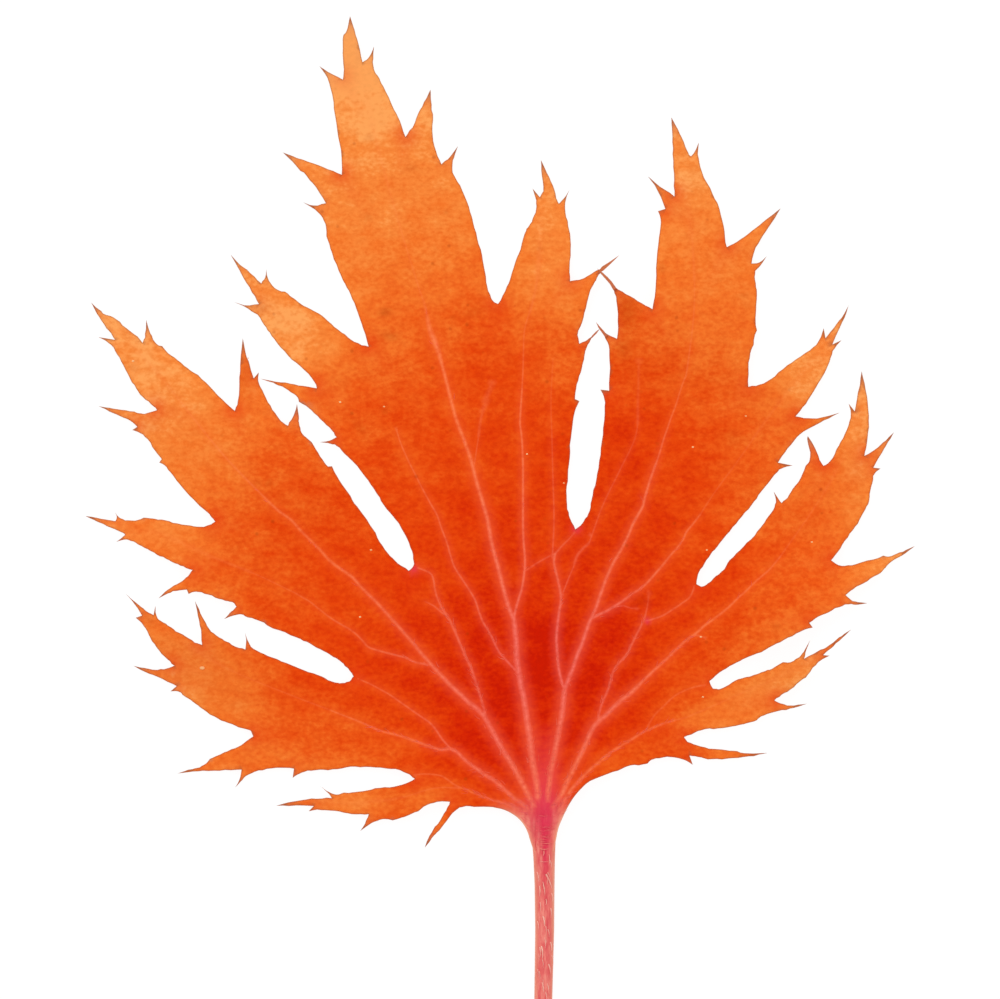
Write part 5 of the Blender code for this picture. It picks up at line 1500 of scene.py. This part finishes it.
@dataclass
class Specks:
    """Tiny pale raised dots on the upper side.

    Attributes:
        dots: x, y and radius of each dot.
        flatness: Their width along X and Y and their height, as shares of their size.
    """

    blade: Blade
    dots: Rows = (
        (-33.8, 15.2, 0.26), (-20, 41.8, 0.13), (-15.6, 41.35, 0.11), (-18, 20.3, 0.13), (16.1, 18.3, 0.12),
        (16.3, 12.3, 0.12), (27.2, 27.8, 0.12), (-1.3, 36.6, 0.11), (2.4, 33.7, 0.1), (-40.7, 45.9, 0.14),
        (20.6, 40.4, 0.12), (15.3, 37.3, 0.12), (-16.9, 27, 0.13), (16.7, 27, 0.12), (-29.2, 46.2, 0.08),
    )
    flatness: tuple[float, float, float] = (1.0, 0.7, 0.35)

    def build(self) -> Object:
        """Builds the dots as one object.

        Returns:
            The dots, in the row frame.
        """
        spots = np.array([dot[:2] for dot in self.dots])
        masks = self.blade.masks(spots, self.blade.outline)
        over, _ = self.blade.heights(spots, masks)
        made = []
        for (x, y, radius), z in zip(self.dots, over):
            place = ((x + self.blade.shift[0]) * MM, (y + self.blade.shift[1]) * MM, z * MM)
            bpy.ops.mesh.primitive_ico_sphere_add(subdivisions=2, radius=radius * MM, location=place)
            dot = bpy.context.view_layer.objects.active
            dot.scale = self.flatness
            made.append(dot)
        dots = join(made)
        dots.name = dots.data.name = "leaf_specks"
        bpy.ops.object.transform_apply(location=True, rotation=True, scale=True)
        smooth_shade(dots, 80.0)
        return dots


class Sheet:
    """A node tree being filled in, with short ways to add the nodes used here."""

    def __init__(self, tree: bpy.types.NodeTree) -> None:
        """Starts from a tree."""
        self.tree = tree
        self.count = 0

    def add(self, kind: str, **settings: object) -> bpy.types.Node:
        """Adds a node and sets its properties.

        Args:
            kind: The node's type.
            settings: Its properties.

        Returns:
            The node.
        """
        node = self.tree.nodes.new(kind)
        node.location = (220 * (self.count % 8), -260 * (self.count // 8))
        self.count += 1
        for name, value in settings.items():
            setattr(node, name, value)
        return node

    def put(self, socket: Socket, value: object) -> None:
        """Links or sets an input, whichever the value is."""
        if isinstance(value, Socket):
            self.tree.links.new(value, socket)
        else:
            socket.default_value = value

    def maths(self, operation: str, *values: object, clamp: bool = False) -> Socket:
        """Adds a Math node over the values."""
        node = self.add("ShaderNodeMath", operation=operation, use_clamp=clamp)
        for socket, value in zip(node.inputs, values):
            self.put(socket, value)
        return node.outputs[0]

    def times(self, first: object, second: object) -> Socket:
        """Multiplies two values."""
        return self.maths("MULTIPLY", first, second)

    def mix(self, factor: object, first: object, second: object) -> Socket:
        """Adds a colour Mix node."""
        node = self.add("ShaderNodeMix", data_type="RGBA", clamp_factor=True)
        self.put(node.inputs[0], factor)
        self.put(node.inputs[6], first)
        self.put(node.inputs[7], second)
        return node.outputs[2]

    def ramp(self, value: object, stops: tuple[tuple[float, Colour], ...]) -> Socket:
        """Adds a colour ramp with the given stops."""
        node = self.add("ShaderNodeValToRGB")
        elements = node.color_ramp.elements
        while len(elements) < len(stops):
            elements.new(0.5)
        for element, (place, colour) in zip(elements, stops):
            element.position = place
            element.color = colour
        self.put(node.inputs[0], value)
        return node.outputs[0]

    def mask(self, name: str) -> Socket:
        """Reads one of the masks stored on the mesh."""
        return self.add("ShaderNodeAttribute", attribute_name=name).outputs["Fac"]

    def cover(self, colour: object, mask: object, strength: float, over: object) -> Socket:
        """Lays another colour over the first, as strongly as the mask, or the one of that name, says."""
        shown = self.mask(mask) if isinstance(mask, str) else mask
        return self.mix(self.times(shown, strength), colour, over)

    def span(
        self, value: object, low: float, high: float, to_low: float = 0.0, to_high: float = 1.0
    ) -> Socket:
        """Maps low..high onto to_low..to_high and keeps it in that range."""
        node = self.add("ShaderNodeMapRange", clamp=True)
        for socket, number in zip(node.inputs, (value, low, high, to_low, to_high)):
            self.put(socket, number)
        return node.outputs[0]

    def noise(
        self, vector: object, scale: tuple[float, float, float], detail: float, roughness: float
    ) -> Socket:
        """Adds noise whose features are stretched by three scales, per metre."""
        mapping = self.add("ShaderNodeMapping")
        self.put(mapping.inputs["Vector"], vector)
        mapping.inputs["Scale"].default_value = scale
        node = self.add("ShaderNodeTexNoise", noise_dimensions="3D")
        self.put(node.inputs["Vector"], mapping.outputs[0])
        node.inputs["Scale"].default_value = 1.0
        node.inputs["Detail"].default_value = detail
        node.inputs["Roughness"].default_value = roughness
        return node.outputs["Fac"]


def mottling_group() -> bpy.types.NodeTree:
    """The papery mottling that every finish of the leaf shares.

    Returns:
        A group that takes the place and a grain size, and puts out blotches, fibres, specks and a height.
    """
    tree = bpy.data.node_groups.new("papery mottling", "ShaderNodeTree")
    face = tree.interface
    face.new_socket("Place", in_out="INPUT", socket_type="NodeSocketVector")
    grain = face.new_socket("Fineness", in_out="INPUT", socket_type="NodeSocketFloat")
    grain.default_value = 1.0
    for name in ("Blotches", "Fibres", "Specks", "Height"):
        face.new_socket(name, in_out="OUTPUT", socket_type="NodeSocketFloat")
    sheet = Sheet(tree)
    start, end = sheet.add("NodeGroupInput"), sheet.add("NodeGroupOutput")
    scaled = sheet.add("ShaderNodeVectorMath", operation="SCALE")
    sheet.put(scaled.inputs[0], start.outputs["Place"])
    sheet.put(scaled.inputs["Scale"], start.outputs["Fineness"])
    place = scaled.outputs[0]
    blotches = sheet.noise(place, (330.0, 520.0, 330.0), 4.0, 0.55)
    fibres = sheet.noise(place, (1900.0, 2500.0, 1900.0), 2.0, 0.5)
    dots = sheet.add("ShaderNodeTexVoronoi", feature="F1")
    dots.inputs["Scale"].default_value = 620.0
    sheet.put(dots.inputs["Vector"], place)
    near = sheet.span(dots.outputs["Distance"], 0.16, 0.06)
    chosen = sheet.add("ShaderNodeSeparateColor")
    sheet.put(chosen.inputs[0], dots.outputs["Color"])
    rare = sheet.span(chosen.outputs[0], 0.72, 0.80)
    height = sheet.maths("ADD", sheet.times(fibres, 0.6), sheet.times(blotches, 0.4))
    for socket, value in zip(end.inputs, (blotches, fibres, sheet.times(near, rare), height)):
        sheet.put(socket, value)
    return tree


def new_material(name: str) -> tuple[bpy.types.Material, bpy.types.Node]:
    """A new material and its surface shader."""
    material = bpy.data.materials.new(name)
    material.use_nodes = True
    return material, next(n for n in material.node_tree.nodes if n.type == "BSDF_PRINCIPLED")


@dataclass(frozen=True)
class Finish:
    """What one surface of the leaf is made to look like, apart from its colours.

    Attributes:
        name: The material's name.
        roughness: The lowest and highest roughness over its mottling.
        gloss: The strength of its reflection.
        relief: The depth of its grain in millimetres.
        fineness: The size of its grain; larger is finer.
    """

    name: str
    roughness: tuple[float, float]
    gloss: float
    relief: float
    fineness: float

    def start(
        self, mottling: bpy.types.NodeTree
    ) -> tuple[bpy.types.Material, Sheet, bpy.types.Node, bpy.types.Node]:
        """Starts the material with its mottling, roughness and grain.

        Args:
            mottling: The shared mottling group.

        Returns:
            The material, its sheet, its surface shader and the mottling node.
        """
        material, shader = new_material(self.name)
        sheet = Sheet(material.node_tree)
        shader.inputs["Specular IOR Level"].default_value = self.gloss
        place = sheet.add("ShaderNodeTexCoord").outputs["Object"]
        grain = sheet.add("ShaderNodeGroup", node_tree=mottling)
        sheet.put(grain.inputs["Place"], place)
        grain.inputs["Fineness"].default_value = self.fineness
        sheet.put(shader.inputs["Roughness"], sheet.span(grain.outputs["Fibres"], 0.3, 0.7, *self.roughness))
        bump = sheet.add("ShaderNodeBump")
        bump.inputs["Distance"].default_value = self.relief * MM
        bump.inputs["Strength"].default_value = 1.0
        sheet.put(bump.inputs["Height"], grain.outputs["Height"])
        sheet.put(shader.inputs["Normal"], bump.outputs[0])
        return material, sheet, shader, grain


UPPER_SKIN = Finish("leaf upper skin", (0.60, 0.78), 0.02, 0.05, 1.0)
UNDERSIDE = Finish("leaf underside", (0.70, 0.85), 0.05, 0.07, 0.9)
STALK_SKIN = Finish("leaf stalk skin", (0.50, 0.66), 0.08, 0.05, 0.9)
HAIR = Finish("leaf hairs", (0.45, 0.60), 0.05, 0.01, 1.5)
SPECK = Finish("leaf specks", (0.5, 0.65), 0.1, 0.01, 1.5)


class Palette:
    """The leaf's colours and its finishes, made once each."""

    # From the red middle of the blade to its palest orange.
    TONES = (
        (0.00, srgb(203, 26, 0)),
        (0.12, srgb(213, 38, 1)),
        (0.28, srgb(223, 56, 4)),
        (0.42, srgb(229, 70, 9)),
        (0.58, srgb(235, 90, 22)),
        (0.76, srgb(242, 116, 40)),
        (0.90, srgb(246, 136, 58)),
        (1.00, srgb(252, 162, 87)),
    )
    NOTCH_RED = srgb(226, 56, 18)
    # Brown for the dark spots, also used as painted shade on the right lobe's curled tooth.
    STAIN_AND_SHADE_BROWN = srgb(172, 62, 6)
    FLECK_BROWN = srgb(166, 58, 8)
    DRY_TIP = srgb(186, 122, 94)
    # Each first colour is the one near the base, and each second one the one further out.
    VEIN_GLOW = (srgb(236, 86, 68), srgb(238, 90, 36))
    VEIN_LINE = (srgb(247, 118, 108), srgb(254, 134, 84))
    BASE_ROSE = srgb(226, 52, 84)
    # The rim of the blade, and where it runs into the stalk.
    RIM = (srgb(158, 84, 50), srgb(236, 172, 136))
    PALE_UNDERSIDE = srgb(232, 150, 104)
    RIB = srgb(236, 176, 150)
    STALK_STREAKS = ((0.32, srgb(216, 78, 84)), (0.50, srgb(228, 104, 100)), (0.68, srgb(240, 140, 126)))
    # Painted highlight: paler towards the stalk's sides, palest at its edges.
    STALK_SIDE_HIGHLIGHT = srgb(241, 150, 124)
    STALK_EDGE_HIGHLIGHT = srgb(248, 184, 156)
    GROOVE_ROSE = srgb(220, 44, 78)
    STALK_FLECK = srgb(186, 70, 60)
    FOOT_BROWN = srgb(142, 84, 58)
    HAIR_TONES = ((0.35, srgb(245, 158, 144)), (0.6, srgb(254, 194, 176)))
    FUZZ = (srgb(242, 104, 112), srgb(250, 118, 92))
    SPECK_TONES = ((0.35, srgb(242, 164, 104)), (0.6, srgb(250, 196, 140)))

    def __init__(self) -> None:
        """Makes the shared node groups."""
        self.mottling = mottling_group()
        self.stalk_colours = self.stalk_group()

    def stalk_group(self) -> bpy.types.NodeTree:
        """The colours of the stalk, which the blade takes over at its base.

        Returns:
            A group that takes the place, how far across it is and the rose mask, and puts out a colour.
        """
        tree = bpy.data.node_groups.new("stalk colours", "ShaderNodeTree")
        face = tree.interface
        face.new_socket("Place", in_out="INPUT", socket_type="NodeSocketVector")
        face.new_socket("Across", in_out="INPUT", socket_type="NodeSocketFloat")
        face.new_socket("Rose", in_out="INPUT", socket_type="NodeSocketFloat")
        face.new_socket("Colour", in_out="OUTPUT", socket_type="NodeSocketColor")
        sheet = Sheet(tree)
        start, end = sheet.add("NodeGroupInput"), sheet.add("NodeGroupOutput")
        streak = sheet.noise(start.outputs["Place"], (2600.0, 520.0, 2600.0), 3.0, 0.6)
        colour = sheet.ramp(streak, self.STALK_STREAKS)
        # Painted highlight: paler towards the sides and palest at the edges.
        side = sheet.span(start.outputs["Across"], 0.50, 0.88)
        colour = sheet.cover(colour, side, 0.75, self.STALK_SIDE_HIGHLIGHT)
        edge = sheet.span(start.outputs["Across"], 0.84, 0.98)
        colour = sheet.cover(colour, edge, 0.5, self.STALK_EDGE_HIGHLIGHT)
        rose = sheet.times(start.outputs["Rose"], sheet.span(streak, 0.3, 0.7, 1.0, 0.78))
        sheet.put(end.inputs["Colour"], sheet.mix(rose, colour, self.GROOVE_ROSE))
        return tree

    def stalk_colour(self, sheet: Sheet) -> Socket:
        """Adds the stalk's colours to a material."""
        node = sheet.add("ShaderNodeGroup", node_tree=self.stalk_colours)
        sheet.put(node.inputs["Place"], sheet.add("ShaderNodeTexCoord").outputs["Object"])
        sheet.put(node.inputs["Across"], sheet.mask("across"))
        sheet.put(node.inputs["Rose"], sheet.mask("blush"))
        return node.outputs["Colour"]

    def skin(self, side: Side) -> bpy.types.Material:
        """The blade's skin on one of its sides.

        Args:
            side: Which side.

        Returns:
            The material.
        """
        finish = UPPER_SKIN if side is Side.UPPER else UNDERSIDE
        material, sheet, shader, grain = finish.start(self.mottling)
        fibres = grain.outputs["Fibres"]
        blotch = sheet.times(sheet.maths("SUBTRACT", grain.outputs["Blotches"], 0.5), 0.54)
        fibre = sheet.times(sheet.maths("SUBTRACT", fibres, 0.5), 0.36)
        calm = sheet.span(sheet.mask("tone"), 0.55, 1.0, 1.0, 0.55)
        uneven = sheet.times(sheet.maths("ADD", blotch, fibre), calm)
        tone = sheet.maths("ADD", sheet.mask("tone"), uneven, clamp=True)
        shade = sheet.add("ShaderNodeVectorMath", operation="SCALE")
        sheet.put(shade.inputs[0], sheet.ramp(tone, self.TONES))
        sheet.put(shade.inputs["Scale"], sheet.span(fibres, 0.30, 0.60, 0.95, 1.02))
        colour = sheet.cover(shade.outputs[0], "notch", 0.5, self.NOTCH_RED)
        outer = sheet.span(sheet.mask("tone"), 0.08, 0.46)
        colour = sheet.cover(colour, "halo", 0.58, sheet.mix(outer, *self.VEIN_GLOW))
        colour = sheet.cover(colour, "blush", 0.85, self.BASE_ROSE)
        broken = sheet.times(sheet.mask("vein"), sheet.span(fibres, 0.30, 0.62, 0.45, 1.0))
        colour = sheet.cover(colour, broken, 0.86, sheet.mix(outer, *self.VEIN_LINE))
        # The stalk's colours, with their painted highlight at the sides, carry on into the blade's base.
        colour = sheet.mix(sheet.mask("stalk"), colour, self.stalk_colour(sheet))
        # Brown spots, with painted shade where the right lobe's tooth curls up.
        colour = sheet.cover(colour, "stain_and_shade", 0.8, self.STAIN_AND_SHADE_BROWN)
        colour = sheet.cover(colour, grain.outputs["Specks"], 0.4, self.FLECK_BROWN)
        colour = sheet.cover(colour, "tip", 0.72, self.DRY_TIP)
        colour = sheet.cover(colour, "rim", 0.66, sheet.mix(sheet.mask("stalk"), *self.RIM))
        if side is Side.UNDER:
            colour = sheet.mix(0.42, colour, self.PALE_UNDERSIDE)
            ridge = sheet.span(sheet.mask("depth"), 0.05, 0.45, 0.0, 0.75)
            colour = sheet.mix(ridge, colour, self.RIB)
        sheet.put(shader.inputs["Base Color"], colour)
        return material

    def stalk(self) -> bpy.types.Material:
        """The stalk's skin: salmon, with painted highlight on its paler sides and edges, rose along its
        groove, brown at its foot.
        """
        material, sheet, shader, grain = STALK_SKIN.start(self.mottling)
        colour = sheet.cover(self.stalk_colour(sheet), grain.outputs["Specks"], 0.4, self.STALK_FLECK)
        sheet.put(shader.inputs["Base Color"], sheet.cover(colour, "foot", 0.75, self.FOOT_BROWN))
        return material

    def hair(self) -> bpy.types.Material:
        """The pale hairs; the fuzz on the blade is closer to its colour."""
        material, sheet, shader, grain = HAIR.start(self.mottling)
        colour = sheet.ramp(grain.outputs["Blotches"], self.HAIR_TONES)
        fuzz = sheet.mix(sheet.mask("far"), *self.FUZZ)
        sheet.put(shader.inputs["Base Color"], sheet.mix(sheet.mask("fuzz"), colour, fuzz))
        return material

    def speck(self) -> bpy.types.Material:
        """The pale dots."""
        material, sheet, shader, grain = SPECK.start(self.mottling)
        sheet.put(shader.inputs["Base Color"], sheet.ramp(grain.outputs["Blotches"], self.SPECK_TONES))
        return material


@dataclass
class Studio:
    """The floor, the lights and the camera.

    Attributes:
        centre: The place that the camera looks straight down on, in millimetres.
        view_width: The width seen at mean_height over the surface, in millimetres.
        floor_gap: How far the floor lies below the leaf, in millimetres.
        floor_glow: How strongly the floor shines by itself.
        lamps: Name, place and side in metres and power in watts of each lamp.
        air: The strength of the light from all around.
    """

    centre: Array
    view_width: float = 100.0
    lens: float = 400.0
    sensor: float = 36.0
    mean_height: float = 1.5
    floor_gap: float = 0.02
    floor_glow: float = 0.93
    lamps: tuple[tuple[str, tuple[float, float, float], float, float], ...] = (
        ("key", (-0.7, 0.9, 1.5), 1.2, 15.3),
        ("fill", (1.0, -0.5, 1.5), 1.4, 8.0),
    )
    air: float = 0.56

    def floor(self) -> Object:
        """A plain, nearly white floor."""
        bpy.ops.mesh.primitive_plane_add(size=3.0, location=(0.0, 0.0, -self.floor_gap * MM))
        floor = bpy.context.view_layer.objects.active
        floor.name = "floor"
        material, shader = new_material("pale floor")
        shader.inputs["Base Color"].default_value = (0.10, 0.10, 0.10, 1.0)
        shader.inputs["Roughness"].default_value = 0.9
        shader.inputs["Specular IOR Level"].default_value = 0.1
        shader.inputs["Emission Color"].default_value = (1.0, 1.0, 1.0, 1.0)
        shader.inputs["Emission Strength"].default_value = self.floor_glow
        floor.data.materials.append(material)
        return floor

    def light(self, name: str, place: tuple[float, float, float], size: float, power: float) -> None:
        """Adds a soft square light that faces the leaf.

        Args:
            name: The light's name.
            place: Where it stands, in metres.
            size: Its side in metres.
            power: Its power in watts.
        """
        data = bpy.data.lights.new(name, "AREA")
        data.size = size
        data.energy = power
        lamp = link(bpy.data.objects.new(name, data))
        lamp.location = place
        lamp.rotation_euler = (-Vector(place)).to_track_quat("-Z", "Y").to_euler()

    def camera(self) -> None:
        """A camera straight above, with a long lens."""
        data = bpy.data.cameras.new("camera")
        data.lens = self.lens
        data.sensor_width = self.sensor
        data.clip_start = 0.01
        data.clip_end = 20.0
        camera = link(bpy.data.objects.new("camera", data))
        height = self.view_width * MM * self.lens / self.sensor
        camera.location = (*(self.centre * MM), height + self.mean_height * MM)
        bpy.context.scene.camera = camera

    def build(self) -> Object:
        """Builds the studio.

        Returns:
            The floor, which isn't part of the leaf.
        """
        floor = self.floor()
        for lamp in self.lamps:
            self.light(*lamp)
        world = bpy.data.worlds.new("studio")
        world.use_nodes = True
        back = next(n for n in world.node_tree.nodes if n.type == "BACKGROUND")
        back.inputs["Color"].default_value = (1.0, 1.0, 1.0, 1.0)
        back.inputs["Strength"].default_value = self.air
        bpy.context.scene.world = world
        bpy.context.scene.view_settings.view_transform = "Standard"
        self.camera()
        return floor


def place(piece: Object, *finishes: bpy.types.Material) -> Object:
    """Gives a piece its finishes and its body, and reports it.

    Args:
        piece: The finished piece, in the row frame.
        finishes: Its materials, in the order of their places on the mesh.

    Returns:
        The piece.
    """
    for finish in finishes:
        piece.data.materials.append(finish)
    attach(piece, BODY)
    LOG.info("%s: %d points, %d faces", piece.name, len(piece.data.vertices), len(piece.data.polygons))
    return piece


def main() -> None:
    """Loads the frame, builds the leaf around it and sets up the studio."""
    logging.basicConfig(level=logging.INFO, format="%(name)s: %(message)s")
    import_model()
    for obj in list(bpy.context.selected_objects):
        obj.select_set(False)
    low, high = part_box(NODE)
    knots = np.array([knot[:2] for knot in MARGIN])
    shift = np.array([low.x / MM - knots[:, 0].min(), high.y / MM - knots[:, 1].max()])
    LOG.info("the leaf is moved by %.2f, %.2f mm", *shift)

    palette = Palette()
    pitch = Blade.pitch
    outline = Outline(MARGIN, 3, unevenness=0.024)
    blade_maker = Blade(Lie(), Tint(), VeinMap(VEINS, 0.3), outline, shift, pitch=pitch)
    blade = place(blade_maker.build(), palette.skin(Side.UPPER), palette.skin(Side.UNDER))
    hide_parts(NODE)
    stalk_maker = Stalk(shift)
    place(stalk_maker.build(), palette.stalk())
    place(Hairs(stalk_maker, blade_maker).build(), palette.hair())
    place(Specks(blade_maker).build(), palette.speck())

    Studio(shift + np.array(VIEW_CENTRE)).build()


if __name__ == "__main__":
    main()
